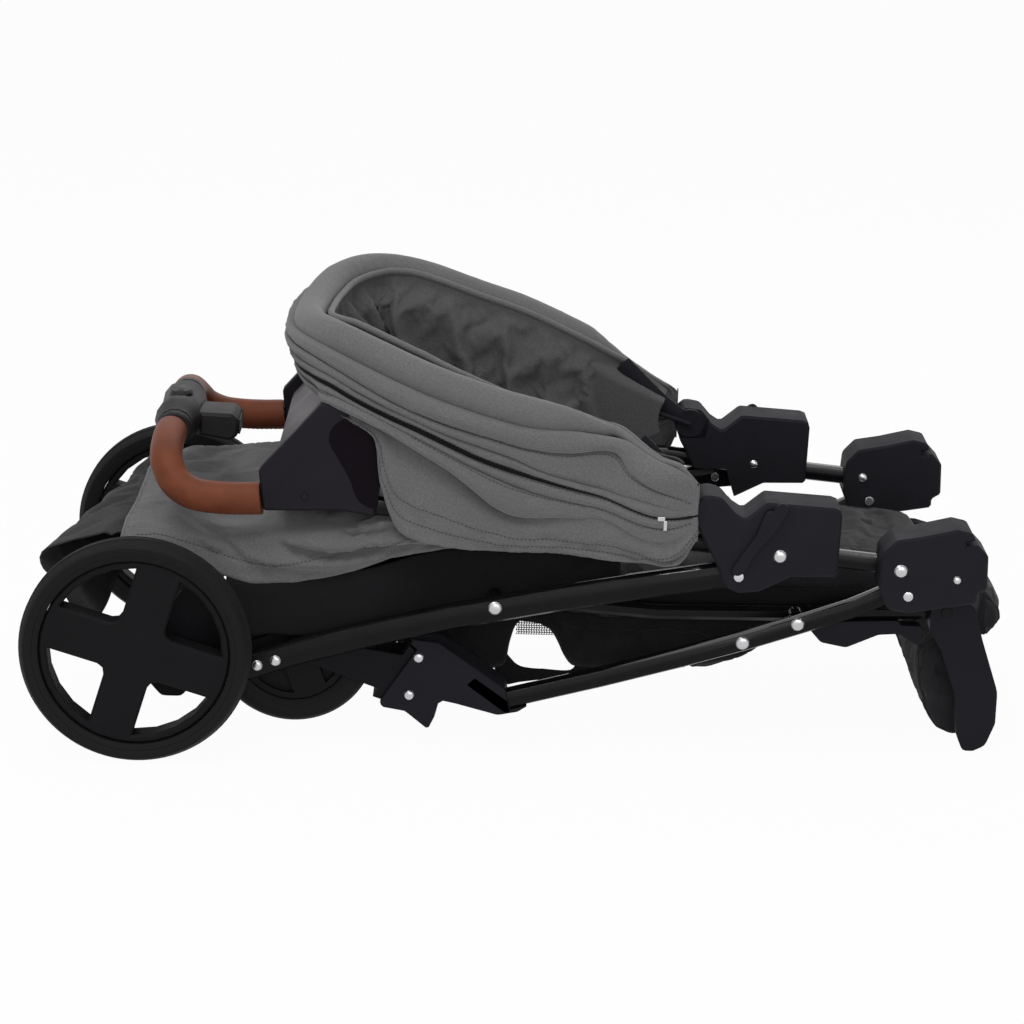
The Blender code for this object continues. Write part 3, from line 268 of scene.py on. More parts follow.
def curve(points, count):
    """Evenly spaced points along a smooth curve through the given ones."""
    points = [Vector(p) for p in points]
    dense = []
    for i in range(len(points) - 1):
        p0, p1 = points[max(i - 1, 0)], points[i]
        p2, p3 = points[i + 1], points[min(i + 2, len(points) - 1)]
        for k in range(12):
            t = k / 12
            dense.append(0.5 * ((2 * p1) + (p2 - p0) * t + (2 * p0 - 5 * p1 + 4 * p2 - p3) * t * t
                                + (3 * p1 - p0 - 3 * p2 + p3) * t ** 3))
    dense.append(points[-1])
    lengths = [0.0]
    for a, b in zip(dense, dense[1:]):
        lengths.append(lengths[-1] + (b - a).length)
    result, j = [], 0
    for i in range(count):
        s = lengths[-1] * i / (count - 1)
        while j < len(dense) - 2 and lengths[j + 1] < s:
            j += 1
        f = (s - lengths[j]) / max(lengths[j + 1] - lengths[j], 1e-9)
        result.append(dense[j].lerp(dense[j + 1], min(max(f, 0.0), 1.0)))
    return result


def table(x, rows):
    """Linear interpolation in rows of (x, value)."""
    for (x0, v0), (x1, v1) in zip(rows, rows[1:]):
        if x <= x1:
            return v0 + (v1 - v0) * min(max((x - x0) / (x1 - x0), 0.0), 1.0)
    return rows[-1][1]


def sign(y):
    return 1 if y > 0 else -1


def ease(t, a=0.0, b=1.0):
    t = min(max((t - a) / (b - a), 0.0), 1.0)
    return t * t * (3 - 2 * t)


def peak(x, width):
    """A smooth ridge round zero."""
    return 1 / (1 + (x / width) ** 2) ** 2


def wob(x, y=0.0, z=0.0):
    return noise.noise(Vector((x, y, z)))


def crease(x, y, z=0.0):
    """Crumpled cloth: thin ridges where a noise passes through zero."""
    broad = max(0.0, 1 - 4.5 * abs(wob(x, y, z))) ** 2
    fine = max(0.0, 1 - 4.5 * abs(wob(2.3 * x + 5, 2.3 * y, z + 3))) ** 2
    return 0.7 * broad + 0.3 * fine


def shown(name, points, faces, mat, uvs=None):
    """A new mesh object from points in CAD source coordinates."""
    mesh = bpy.data.meshes.new(name)
    mesh.from_pydata([world(p) for p in points], [], faces)
    mesh.update()
    layer = mesh.uv_layers.new(name="cloth")
    for loop in mesh.loops:
        co = mesh.vertices[loop.vertex_index].co
        layer.data[loop.index].uv = uvs[loop.vertex_index] if uvs else (co.x + co.y, co.z + 0.3 * co.y)
    shaded_smooth(mesh)
    mesh.materials.append(mat)
    return placed(name, mesh)


def lattice(grid, closed=False):
    """Points, faces and cloth coordinates (in metres) of rows of points."""
    rows, cols = len(grid), len(grid[0])
    points = [Vector(p) for row in grid for p in row]
    faces, uvs = [], []
    u = [0.0]
    for i in range(1, rows):
        u.append(u[-1] + (points[i * cols + cols // 2] - points[(i - 1) * cols + cols // 2]).length)
    for i in range(rows):
        v = 0.0
        for j in range(cols):
            if j:
                v += (points[i * cols + j] - points[i * cols + j - 1]).length
            uvs.append((u[i], v))
    for i in range(rows - 1):
        for j in range(cols if closed else cols - 1):
            k = (j + 1) % cols
            faces.append((i * cols + j, (i + 1) * cols + j, (i + 1) * cols + k, i * cols + k))
    return points, faces, uvs


def surface(name, grid, mat, closed=False):
    """A mesh object through rows of points."""
    points, faces, uvs = lattice(grid, closed)
    return shown(name, points, faces, mat, uvs)


def thickened(piece, thickness):
    solid = piece.modifiers.new("thickness", "SOLIDIFY")
    solid.thickness = thickness
    solid.offset = 0.0
    return piece


def cloth(name, grid, mat, thickness=0.0014):
    """A cloth sheet through rows of points."""
    return thickened(surface(name, grid, mat), thickness)


def baked(piece):
    """The piece's evaluated mesh as a new mesh."""
    return bpy.data.meshes.new_from_object(piece.evaluated_get(bpy.context.evaluated_depsgraph_get()))


def simulated(piece, frames, gravity, stiffness=12, **settings):
    """Where a cloth simulation leaves the piece's points; it leaves no modifier behind."""
    fall = piece.modifiers.new("fall", "CLOTH")
    fall.point_cache.frame_end = frames
    fall.settings.tension_stiffness = fall.settings.compression_stiffness = stiffness
    for key, value in settings.items():
        setattr(fall.settings, key, value)
    fall.settings.effector_weights.gravity = gravity
    for step in range(1, frames + 1):
        bpy.context.scene.frame_set(step)
    after = [v.co.copy() for v in baked(piece).vertices]
    bpy.context.scene.frame_set(1)
    piece.modifiers.clear()
    return after


def capped(move, longest):
    return move * (longest / move.length) if move.length > longest else move


def wrinkled(piece, grid, held, grow, cap, bending=0.15, gravity=0.0, frames=20):
    """Lets a sheet with some spare cloth buckle between the points where held(i, j) is true."""
    cols = len(grid[0])
    thickness = piece.modifiers["thickness"].thickness
    piece.modifiers.clear()
    pins = piece.vertex_groups.new(name="held")
    pins.add([k for k in range(len(piece.data.vertices)) if held(k // cols, k % cols)], 1.0, "REPLACE")
    after = simulated(piece, frames, gravity, quality=5, mass=0.2, shear_stiffness=3,
                      bending_stiffness=bending, vertex_group_mass="held", shrink_min=-grow)
    piece.vertex_groups.clear()
    for k, (v, b) in enumerate(zip(piece.data.vertices, after)):
        v.co += capped(b - v.co, cap)
        grid[k // cols][k % cols] = v.co + Vector((MIDDLE_X, 0, 0))
    return thickened(piece, thickness)


def swept(name, path, radius, mat, sides=10, swell=None, outs=None):
    """A round cord along a path; swell(i, k) scales its radius."""
    path = [Vector(p) for p in path]
    grid, side = [], None
    for i, p in enumerate(path):
        along = (path[min(i + 1, len(path) - 1)] - path[max(i - 1, 0)]).normalized()
        if outs:
            side = Vector(outs[i])
        elif side is None:
            side = along.orthogonal().normalized()
        side = (side - along * side.dot(along)).normalized()
        up = along.cross(side)
        grid.append([p + (side * cos(2 * pi * k / sides) + up * sin(2 * pi * k / sides)) * radius
                     * (swell(i / (len(path) - 1), 2 * pi * k / sides) if swell else 1.0)
                     for k in range(sides)])
    points, faces, uvs = lattice(grid, closed=True)
    faces += [tuple(range(sides - 1, -1, -1)), tuple(range(len(points) - sides, len(points)))]
    return shown(name, points, faces, mat, uvs)


def box_shape(centre, size):
    """Points and faces of a box about a centre."""
    points = [Vector(centre) + Vector((x * size[0], y * size[1], z * size[2])) / 2
              for x in (-1, 1) for y in (-1, 1) for z in (-1, 1)]
    return points, [(0, 1, 3, 2), (4, 6, 7, 5), (0, 4, 5, 1), (2, 3, 7, 6), (0, 2, 6, 4), (1, 5, 7, 3)]


def resampled(path, pitch):
    """Points every pitch along a path, with their direction."""
    path = [Vector(p) for p in path]
    result, left = [], 0.0
    for i, (a, b) in enumerate(zip(path, path[1:])):
        step = (b - a).length
        while left <= step and step > 1e-9:
            result.append((a.lerp(b, left / step), (b - a) / step, i + left / step))
            left += pitch
        left -= step
    return result


def stitches(name, path, mat, pitch=0.0042, length=0.0028, radius=0.00042, lift=None, weights=None):
    """A row of single stitches along a path; lift gives each path point's outward direction."""
    points, faces, shares = [], [], []
    for p, along, at in resampled(path, pitch):
        i = min(int(at), len(path) - 2)
        out = Vector(lift[i]) if lift else Vector((0, 0, 1))
        out = (out - along * out.dot(along)).normalized()
        side = along.cross(out)
        base = len(points)
        for end, r, rise in ((-0.5, 0.3, -0.3), (-0.25, 1.0, 0.35), (0.25, 1.0, 0.35), (0.5, 0.3, -0.3)):
            middle = p + along * end * length + out * rise * radius
            for k in range(5):
                a = 2 * pi * k / 5
                points.append(middle + (out * cos(a) + side * sin(a)) * radius * r)
                if weights:
                    shares.append(weights[i])
        for ring in range(3):
            for k in range(5):
                a, b = base + ring * 5 + k, base + ring * 5 + (k + 1) % 5
                faces.append((a, b, b + 5, a + 5))
    made = shown(name, points, faces, mat)
    return (made, shares) if weights else made


def belongs(piece, body, node=None):
    """The piece rides on a body and may take the place of a CAD node."""
    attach(piece, body)
    if node:
        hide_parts(node)
    return piece


def fan(piece, shares, bodies):
    """Bakes the piece's placement into its mesh; shares and bodies are not used."""
    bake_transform(piece)
    return piece


def hung(name, grid, body):
    """A thin black cloth that hangs from what it rests on."""
    piece = belongs(cloth(name, grid, DARK, 0.001), body)
    spread_out(piece, grid)


# Canopy

CANOPY = (0.5635, 0.2634)
EYE = 0.0115  # the hole round the pivot's bolt
END_Y = 0.2035  # the cloth's ends lie outside the housings
ARM_REACH, ARM_SIDE = 0.345, 0.1805  # up to this reach the cloth stays this far out, beside the bows' arms
# Each point of the ring's edge with its radius: a hem at both ends, a padded roll between them.
ROLL_PATH = [(0.5495, -0.203, 0.2921, 0.002), (0.5325, -0.201, 0.3086, 0.0022),
             (0.5079, -0.193, 0.315, 0.0028), (0.4733, -0.173, 0.3344, 0.0045),
             (0.455, -0.1685, 0.3366, 0.008), (0.426, -0.167, 0.343, 0.013), (0.4, -0.166, 0.3462, 0.0168),
             (0.3497, -0.168, 0.3586, 0.0175), (0.2861, -0.167, 0.3798, 0.0175),
             (0.2346, -0.16, 0.401, 0.0172), (0.1925, -0.14, 0.416, 0.0165), (0.1685, -0.1, 0.418, 0.016),
             (0.1595, -0.05, 0.415, 0.016), (0.16, 0.0, 0.414, 0.016), (0.166, 0.055, 0.417, 0.0162),
             (0.18, 0.108, 0.4235, 0.0165), (0.2076, 0.148, 0.426, 0.017), (0.24, 0.165, 0.4225, 0.0175),
             (0.2772, 0.168, 0.4136, 0.0175), (0.3264, 0.168, 0.3971, 0.0175),
             (0.3822, 0.167, 0.379, 0.0172), (0.4385, 0.165, 0.3545, 0.0165),
             (0.454, 0.1655, 0.347, 0.0142), (0.472, 0.167, 0.337, 0.01), (0.49, 0.17, 0.327, 0.0058),
             (0.522, 0.184, 0.306, 0.003), (0.5401, 0.197, 0.2935, 0.0022), (0.546, 0.203, 0.284, 0.002)]
# The seams of the canopy's side: the angle about the pivot for each distance from it.
TUCK = [(EYE, 150.0), (0.05, 158.0), (0.083, 157.0), (0.1082, 150.5), (0.1462, 159.7), (0.1863, 163.2),
        (0.2292, 163.4), (0.272, 163.5), (0.316, 162.9), (0.3613, 161.8), (0.4068, 161.0), (0.44, 161.5)]
CREASE = [(EYE, 172.0), (0.0271, 178.0), (0.0536, 174.2), (0.1123, 172.0), (0.1637, 169.6), (0.1996, 167.0),
          (0.2292, 166.0), (0.272, 165.3), (0.316, 164.0), (0.3613, 163.0), (0.4009, 162.3), (0.44, 163.0)]
ZIP = [(EYE, 196.0), (0.0231, 194.0), (0.0458, 188.6), (0.0946, 177.1), (0.1581, 172.6), (0.2226, 169.6),
       (0.2893, 166.4), (0.3652, 164.4), (0.4009, 163.7), (0.44, 164.4)]
RIDGE = [(EYE, 212.0), (0.042, 203.0), (0.0944, 184.3), (0.1775, 176.3), (0.2645, 169.6), (0.332, 166.2),
         (0.3857, 165.0), (0.44, 165.6)]
FOLD = [(EYE, 226.0), (0.0488, 219.0), (0.0955, 191.3), (0.136, 186.5), (0.1935, 184.4), (0.2396, 176.1),
        (0.2709, 171.9), (0.325, 168.0), (0.374, 166.6), (0.401, 166.5), (0.44, 167.2)]
HEM = [(EYE, 249.0), (0.0322, 246.0), (0.0537, 243.5), (0.069, 235.5), (0.0885, 220.1), (0.1441, 201.6),
       (0.2028, 194.7), (0.2548, 191.0), (0.295, 187.8), (0.308, 186.0), (0.315, 183.4), (0.319, 180.6),
       (0.325, 177.6), (0.331, 172.5), (0.339, 169.2), (0.374, 167.5), (0.401, 167.4), (0.44, 168.2)]
ZIP_GAP = [(0.0, 0.0008), (0.1, 0.001), (0.2, 0.0019), (0.3, 0.0024), (0.4, 0.0019), (0.44, 0.0012)]
ZIP_OPEN = 1.4  # how far the cloths stand apart, in gaps
# Behind the handle the hanging folds lean in towards the pivot, by angle.
BACK_LEAN = [(160.0, 0.0), (161.5, 0.001), (164.5, 0.012), (166.8, 0.032), (168.2, 0.048)]


PER_METRE = 400  # degrees that count like a metre where a curve runs through angles


def smooth(rows):
    """The same table, rounded between its rows."""
    return [(r, a * PER_METRE) for r, a, _ in curve([(r, a / PER_METRE, 0) for r, a in rows], 90)]


TUCK, CREASE, ZIP, RIDGE, FOLD, HEM = (smooth(rows) for rows in (TUCK, CREASE, ZIP, RIDGE, FOLD, HEM))


def polar(p):
    dx, dz = p[0] - CANOPY[0], p[2] - CANOPY[1]
    return hypot(dx, dz), degrees(atan2(dz, dx)) % 360


def unpolar(radius, angle, y):
    return Vector((CANOPY[0] + radius * cos(radians(angle)), y, CANOPY[1] + radius * sin(radians(angle))))


def away_from_pivot(angle):
    return Vector((cos(radians(angle)), 0, sin(radians(angle))))


RING, RING_R = [], []
for x, y, z, radius in curve(ROLL_PATH, 380):
    RING.append(Vector((x, y, z)))
    RING_R.append(radius)
ring_out, ring_up = [], []
for i, p in enumerate(RING):
    before, after = RING[max(i - 2, 0)], RING[min(i + 2, len(RING) - 1)]
    flat = Vector((after.y - before.y, polar(after)[0] - polar(before)[0])).normalized()
    r, a = polar(p)
    ring_out.append((away_from_pivot(a) * flat.x - Vector((0, flat.y, 0))).normalized())
    ring_up.append(Vector((sin(radians(a)), 0, -cos(radians(a)))))


def roll_swell(t, a):
    """The padded roll: its own radius, puckers along its two seams and soft dents."""
    at = t * (len(RING_R) - 1)
    i = min(int(at), len(RING_R) - 2)
    size = RING_R[i] + (RING_R[i + 1] - RING_R[i]) * (at - i)
    seam_low, seam_in = cos((a + 2.35) / 2) ** 8, cos((a - 2.6) / 2) ** 8
    gather = 0.1 * ease(0.0175 - size, 0.002, 0.01)
    pucker = (0.032 + gather) * (wob(t * 150, 3) * seam_low + wob(t * 138, 9) * seam_in)
    pucker += gather * 0.6 * wob(t * 120, cos(a) * 2, sin(a) * 2)
    soft = 0.03 * wob(t * 16, cos(a), sin(a)) + 0.016 * crease(t * 26, cos(a), sin(a))
    return size * (1 + soft + pucker - 0.02 * seam_low - 0.015 * seam_in)


def ring_point(i, out, up):
    return RING[i] + ring_out[i] * out + ring_up[i] * up


roll = swept("roll_padding", RING, 1.0, GREY, 40, roll_swell, ring_out)
belongs(roll, "canopy_front", "canopy_roll")

# The cloth runs from the roll down to the zip, and from the zip to the hem.
control = [(EYE, -END_Y, 112.0), (0.022, -END_Y, 113.5)]
for i in range(4, len(RING) - 4, 12):
    r, a = polar(RING[i])
    out, size = ring_out[i], RING_R[i]
    r_out, y_out = r + out.dot(away_from_pivot(a)) * 0.88 * size, RING[i].y + out.y * 0.88 * size
    if r_out < ARM_REACH:
        y_out = max(abs(y_out), ARM_SIDE) * sign(y_out)
    control.append((r_out, y_out, a + degrees(0.6 * size / r)))
control += [(0.022, END_Y, 116.0), (EYE, END_Y, 114.0)]
COLUMNS = curve([(r, y, a / PER_METRE) for r, y, a in control], 400)
SECTION_ROWS = 14


def canopy_point(radius, y, angle, out, turn=0.0):
    """A point of the canopy, standing out by a length: backwards at the back, sideways at the sides."""
    cross = 1 - min(1.0, abs(y) / 0.15) ** 4
    lean = table(angle, BACK_LEAN) * (1 - ease(abs(y), 0.132, 0.17))
    reach = max(radius + out * cross - lean, EYE / max(abs(cos(radians(angle))), 0.28))
    return unpolar(reach, angle + turn, y + sign(y) * out * (1 - cross))


def draped(lines, fold):
    """The canopy cloth between its seams; fold(s, part, t, r) is how far it stands out."""
    grid, shares, s = [], [], 0.0
    for i, (radius, y, turn) in enumerate(COLUMNS):
        if i:
            s += hypot(radius - COLUMNS[i - 1][0], y - COLUMNS[i - 1][1])
        angles = [line(i) for line in lines]
        angles = [max(angle, angles[0]) for angle in angles]
        near_end = ease(min(i, len(COLUMNS) - 1 - i) / 26)
        line, total = [], (len(lines) - 1) * SECTION_ROWS
        for k in range(total + 1):
            part = min(k // SECTION_ROWS, len(lines) - 2)
            t = 0.5 - 0.5 * cos(pi * (k / SECTION_ROWS - part))
            angle = angles[part] + (angles[part + 1] - angles[part]) * t
            line.append(canopy_point(radius, y, angle, fold(s, part, t, radius) * near_end))
            shares.append(1 - k / total)
        grid.append(line)
    return grid, shares


def bulge(t, height, groove=0.0, sharp=0.05):
    """A tuck of cloth between two seams: round on top and pulled in at both."""
    return height * max(sin(pi * t), 0.0) ** 0.5 - groove * (peak(t, sharp) + peak(1 - t, sharp))


def front_fold(s, part, t, r):
    """A rolled tuck, a flatter one and a narrow ridge from the roll to the zip, puckered at their seams."""
    wide = ease(r, 0.1, 0.24)
    height = (0.0085, 0.002 + 0.0062 * wide, 0.005)[part]
    tuck = bulge(t, height, 0.0014 + 0.0085 * wide) * (1 + 0.35 * wob(s * 8, part + t))
    rough = wob(s * 110, t * 2 + part) * 0.0006 * (1 - abs(2 * t - 1) * 0.4)
    return tuck + rough + wob(s * 24, t * 3, 4) * 0.0009 + 0.0014 * crease(s * 13, part + t, 2)


def rear_fold(s, part, t, r):
    """A narrow ridge and an overhanging tuck under the zip, then a slack panel with a turned hem."""
    over = ease(r, 0.12, 0.22)
    if part == 0:
        return bulge(t, 0.005, 0.0015 + 0.006 * over) + wob(s * 110, t) * 0.0004
    if part == 1:
        tuck = bulge(t, 0.002 + 0.01 * over, 0.001 + 0.0075 * over)
        return tuck * (1 + 0.3 * wob(s * 9, t)) + 0.0018 * crease(s * 15, t, 5)
    slack = 0.0055 * wob(s * 7 + t * 2.2, t * 1.6, 7) + 0.006 * crease(s * 9 + t * 1.6, t * 1.4, 8)
    slack += 0.0024 * crease(s * 22 + t * 3, t * 2.6, 3)
    under = -0.008 * over * (1 - ease(t, 0.0, 0.3))
    hem = 0.0008 * ease(t, 0.9, 0.93)
    return slack * ease(t, 0.05, 0.4) + under + hem + wob(s * 80, t * 3, 1) * 0.0004 * ease(t, 0.8, 0.9)


def along_seam(rows, push=0.0):
    """The seam's angle at a column, moved to one side of the line."""
    def angle(i):
        radius = COLUMNS[i][0]
        return table(radius, rows) + push * degrees(table(radius, ZIP_GAP) / radius)
    return angle


front_lines = [lambda i: COLUMNS[i][2] * PER_METRE, along_seam(TUCK), along_seam(CREASE),
               along_seam(ZIP, -ZIP_OPEN)]
MID_PAIR, REAR_PAIR = ("canopy_mid", "canopy_front"), ("push_frame", "canopy_mid")
front_grid, front_shares = draped(front_lines, front_fold)
front_cloth = fan(cloth("cloth_front", front_grid, GREY), front_shares, MID_PAIR)
rear_lines = [along_seam(ZIP, ZIP_OPEN), along_seam(RIDGE), along_seam(FOLD), along_seam(HEM)]
rear_grid, rear_shares = draped(rear_lines, rear_fold)
rear_cloth = fan(cloth("cloth_rear", rear_grid, GREY), rear_shares, REAR_PAIR)
for piece, node in ((front_cloth, "canopy_front_cloth"), (rear_cloth, "canopy_rear_cloth")):
    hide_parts(node)


def normals_along(grid, j):
    """Outward directions of a grid's column j."""
    result = []
    for i in range(len(grid)):
        du = grid[min(i + 1, len(grid) - 1)][j] - grid[max(i - 1, 0)][j]
        dv = grid[i][min(j + 1, len(grid[0]) - 1)] - grid[i][max(j - 1, 0)]
        n = du.cross(dv).normalized()
        away = grid[i][j] - Vector((0.36, 0, grid[i][j].z))
        result.append(n if n.dot(away) > 0 else -n)
    return result


STITCH_LIFT = 0.0012


def sewn(name, grid, j, mat=THREAD, span=None, shares=None, bodies=None, body=None):
    """A row of stitches on a cloth, along its column j, that moves as the cloth does."""
    lines = normals_along(grid, j)
    span = span or range(4, len(grid) - 4)
    path = [grid[i][j] + lines[i] * STITCH_LIFT for i in span]
    lifts = [lines[i] for i in span]
    if bodies:
        own = [shares[i * len(grid[0]) + j] for i in span]
        return fan(*stitches(name, path, mat, lift=lifts, weights=own), bodies)
    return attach(stitches(name, path, mat, lift=lifts), body)


def lengths(line):
    return sum((b - a).length for a, b in zip(line, line[1:]))


def spread_out(piece, grid):
    """Works out the cloth's cut, as wide and long as its longest rows with the area that it has, and keeps
    none of it.
    """
    area = sum(face.area for face in piece.data.polygons)
    width = max(lengths([row[j] for row in grid]) for j in range(len(grid[0])))
    length = max(max(lengths(row) for row in grid), area / width)


rows = [sewn(name, front_grid, j, shares=front_shares, bodies=MID_PAIR)
        for name, j in (("zip_stitches_front", 39), ("tuck_stitches", 17))]
spread_out(front_cloth, front_grid)
rows = [sewn(f"rear_stitches_{j}", rear_grid, j, shares=rear_shares, bodies=REAR_PAIR)
        for j in (3, 17, 36, 38)]
spread_out(rear_cloth, rear_grid)

# Zip: a black tape in the gap between the two cloths, with a row of teeth.
rows = []
for radius, y, _ in COLUMNS[2:-2]:
    half = degrees((ZIP_OPEN * table(radius, ZIP_GAP) + 0.0014) / radius)
    rows.append([canopy_point(radius, y, table(radius, ZIP), rise, half * (k - 3) / 3)
                 for k, rise in enumerate((-0.0006, 0.0, 0.0008, 0.0011, 0.0008, 0.0, -0.0006))])
zip_tape = cloth("zip_tape", rows, TAPE, 0.0008)
teeth = stitches("zip_teeth", [line[3] + (line[3] - line[0]).normalized() * 0.0002 for line in rows], TAPE,
                 0.0022, 0.0012, 0.0008, [Vector((0, -1 if line[3].y < 0 else 1, 0.2)) for line in rows])
for part in (zip_tape, teeth):
    belongs(part, "canopy_mid")
lengths([line[3] for line in rows]) * 1.02
SLIDER_R, SLIDER_Y = 0.048, 0.2062
for label, side in SIDES:
    at = unpolar(SLIDER_R, table(SLIDER_R, ZIP), side * SLIDER_Y)
    body = shown(f"zip_slider_{label}", *box_shape(at, (0.0075, 0.003, 0.0045)), STEEL)
    tab = shown(f"zip_pull_{label}", *box_shape(at + Vector((0.004, side * 0.002, -0.0065)),
                                                (0.0035, 0.001, 0.01)), STEEL)
    for part in (body, tab):
        rounded_edges(part, 0.0006)
        belongs(part, "canopy_mid")

# A bound edge runs along the inside of the roll, and the lining hangs from it in folds.
BAND_UP = [(0.0, 0.0), (0.1, 0.004), (0.2, 0.01), (0.28, 0.018), (0.37, 0.018), (0.46, 0.012),
           (0.6, 0.007), (0.88, 0.004), (1.0, 0.0)]
# Each fold: its place along the ring, its height, how far it leans and its width.
LINING_FOLDS = [(0.56, 0.022, 0.65, 0.012), (0.61, 0.026, 0.45, 0.01), (0.665, 0.022, 0.75, 0.011),
                (0.725, 0.022, 0.85, 0.012), (0.785, 0.016, 0.75, 0.01), (0.835, 0.012, 0.6, 0.01),
                (0.455, 0.016, 0.15, 0.014), (0.51, 0.018, 0.3, 0.014), (0.36, 0.014, -0.25, 0.014),
                (0.27, 0.012, 0.2, 0.014), (0.18, 0.01, 0.15, 0.014), (0.88, 0.014, 0.5, 0.009),
                (0.922, 0.01, 0.4, 0.007)]
# How far from the middle the lining may reach, by distance from the pivot: it stays inside the bow's arms.
LINING_SIDE = [(0.14, 0.141), (0.24, 0.145), (0.3, 0.2)]


def band_depth(i):
    """How far inside the ring's middle its bound inner edge runs."""
    return 0.001 + 1.1 * RING_R[i]


span = range(6, len(RING) - 6)
band_path = [ring_point(i, -band_depth(i), table(i / len(RING), BAND_UP)) for i in span]
band = swept("ring_binding", band_path, 0.0034, GREY, 12,
             lambda t, a: 1 + 0.08 * wob(t * 150, a) - 0.35 * peak(min(t, 1 - t), 0.05))
belongs(band, "canopy_front")

grid, shares = [], []
for i in span:
    u = i / len(RING)
    r, angle = polar(RING[i])
    line = []
    for k in range(37):
        t = k / 36
        folds = sum(size * peak(u - at - lean * 0.1 * t, width) for at, size, lean, width in LINING_FOLDS)
        inward = 0.01 * ease(t, 0, 0.35) + 0.036 * t * t + folds * ease(t, 0.04, 0.55)
        inward += 0.0026 * wob(u * 75, t * 5) * ease(t, 0.0, 0.2)
        inward += 0.005 * crease(u * 24 - t * 2, t * 1.4, 4) * ease(t, 0.1, 0.5)
        inward *= ease(RING_R[i], 0.002, 0.012) * 0.75 + 0.25
        drop = min(0.112, r * 1.15) * t + 0.006 * wob(u * 26, t * 2, 5) * t
        turned = angle + degrees((drop - table(u, BAND_UP)) / r)
        inner = RING[i] - ring_out[i] * (band_depth(i) + inward)
        reach = polar(inner)[0]
        inside = table(reach, LINING_SIDE) + 0.03 * (1 - ease(t, 0, 0.2))
        line.append(unpolar(reach, turned, max(min(inner.y, inside), -inside)))
        shares.append(1 - 0.9 * ease(t))
    grid.append(line)
lining = cloth("ring_lining", grid, SHADED)
wrinkled(lining, grid, lambda i, j: j < 5 or j == 36 or not 30 < i < len(grid) - 31, 0.1, 0.02, 1.5)
fan(lining, shares, MID_PAIR)
rows = [sewn(f"ring_stitches_{j}", grid, j, shares=shares, bodies=MID_PAIR) for j in (2, 4)]
spread_out(lining, grid)

# Backrest cover and its head flap

COVER_TOP = [(-0.0185, 0.215), (0.045, 0.22), (0.125, 0.227), (0.22, 0.233), (0.33, 0.228),
             (0.425, 0.213)]
COVER_HEM = [(-0.0185, 0.2), (0.01, 0.201), (0.058, 0.189), (0.108, 0.1745), (0.15, 0.176),
             (0.1885, 0.1811), (0.308, 0.204), (0.425, 0.206)]
COVER_START, COVER_END, COVER_Y = -0.0185, 0.425, 0.1675
# Folds of the cover: two ends, each as (x, way up from the near hem), with the height.
COVER_FOLDS = [((0.145, 0.044), (0.29, 0.012), 0.0115), ((0.205, 0.05), (0.345, 0.021), 0.011),
               ((0.12, 0.026), (0.235, 0.004), 0.008), ((0.055, 0.06), (0.125, 0.02), 0.004),
               ((0.0, 0.055), (0.07, 0.024), 0.0035), ((0.1, 0.11), (0.2, 0.13), 0.004),
               ((0.2, 0.355), (0.33, 0.385), 0.006), ((0.04, 0.35), (0.15, 0.38), 0.0045),
               ((0.3, 0.16), (0.39, 0.1), 0.005)]


def ridge(x, z, a, b):
    """Height, from -0.5 to 1, of a fold along a line piece, with a groove on its lower side."""
    a, b, p = Vector(a), Vector(b), Vector((x, z))
    run = b - a
    t = min(max((p - a).dot(run) / run.length_squared, 0.0), 1.0)
    away = p - a - run * t
    far = away.length * (1 + 1.5 * max(0.0, abs(2 * t - 1) - 0.5))
    below = far if away.y < 0 else -far
    return peak(far, 0.0065) - 0.5 * peak(below - 0.01, 0.005)


def across(half):
    """A row of points from the near side to the middle, carried on to the far side."""
    return half + [(x, -y, z) for x, y, z in reversed(half[:-1])]


grid = []
for i in range(76):
    x = COVER_START + (COVER_END - COVER_START) * i / 75
    top, hem = table(x, COVER_TOP), table(x, COVER_HEM)
    half = [(x, -COVER_Y, hem), (x, -COVER_Y + 0.001, (hem * 0.45 + top * 0.55) - 0.003),
            (x, -COVER_Y + 0.007, top - 0.003), (x, -0.135, top), (x, -0.065, top - 0.0015),
            (x, 0, top - 0.003)]
    row = curve(across(half), 121)
    line, step = [], lengths(row) / 120
    for j, p in enumerate(row):
        wall = ease(abs(p.y), 0.14, 0.165)
        fold = sum(depth * ridge(p.x, j * step, a, b) for a, b, depth in COVER_FOLDS)
        soft = 0.003 * wob(p.x * 17, p.y * 15, p.z * 30) + 0.0034 * crease(p.x * 9, p.y * 7, p.z * 16)
        sag = 0.003 * wob(p.x * 9, p.y * 12, 3) * (1 - wall)
        band_up = 0.0007 if min(j, 120 - j) < 6 else 0.0
        out = sign(p.y) * wall * (fold + soft + band_up)
        line.append(p + Vector((0, out, (1 - wall) * (soft + fold) + sag)))
    grid.append(line)
cover = cloth("cover_cloth", grid, GREY)
wrinkled(cover, grid, lambda i, j: i in (0, 75) or 45 < j < 75, 0.05, 0.007, 0.4)
belongs(cover, "backrest", "back_cover")
rows = [sewn(f"cover_stitches_{j}", grid, j, body="backrest", span=range(1, 75)) for j in (6, 114)]
edge_path = [p + Vector((-0.001, 0, 0)) for p in grid[0]]
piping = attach(swept("cover_piping", edge_path, 0.0019, GREY, 8), "backrest")
spread_out(cover, grid)

FLAP_START, FLAP_TOP = -0.0193, 0.212
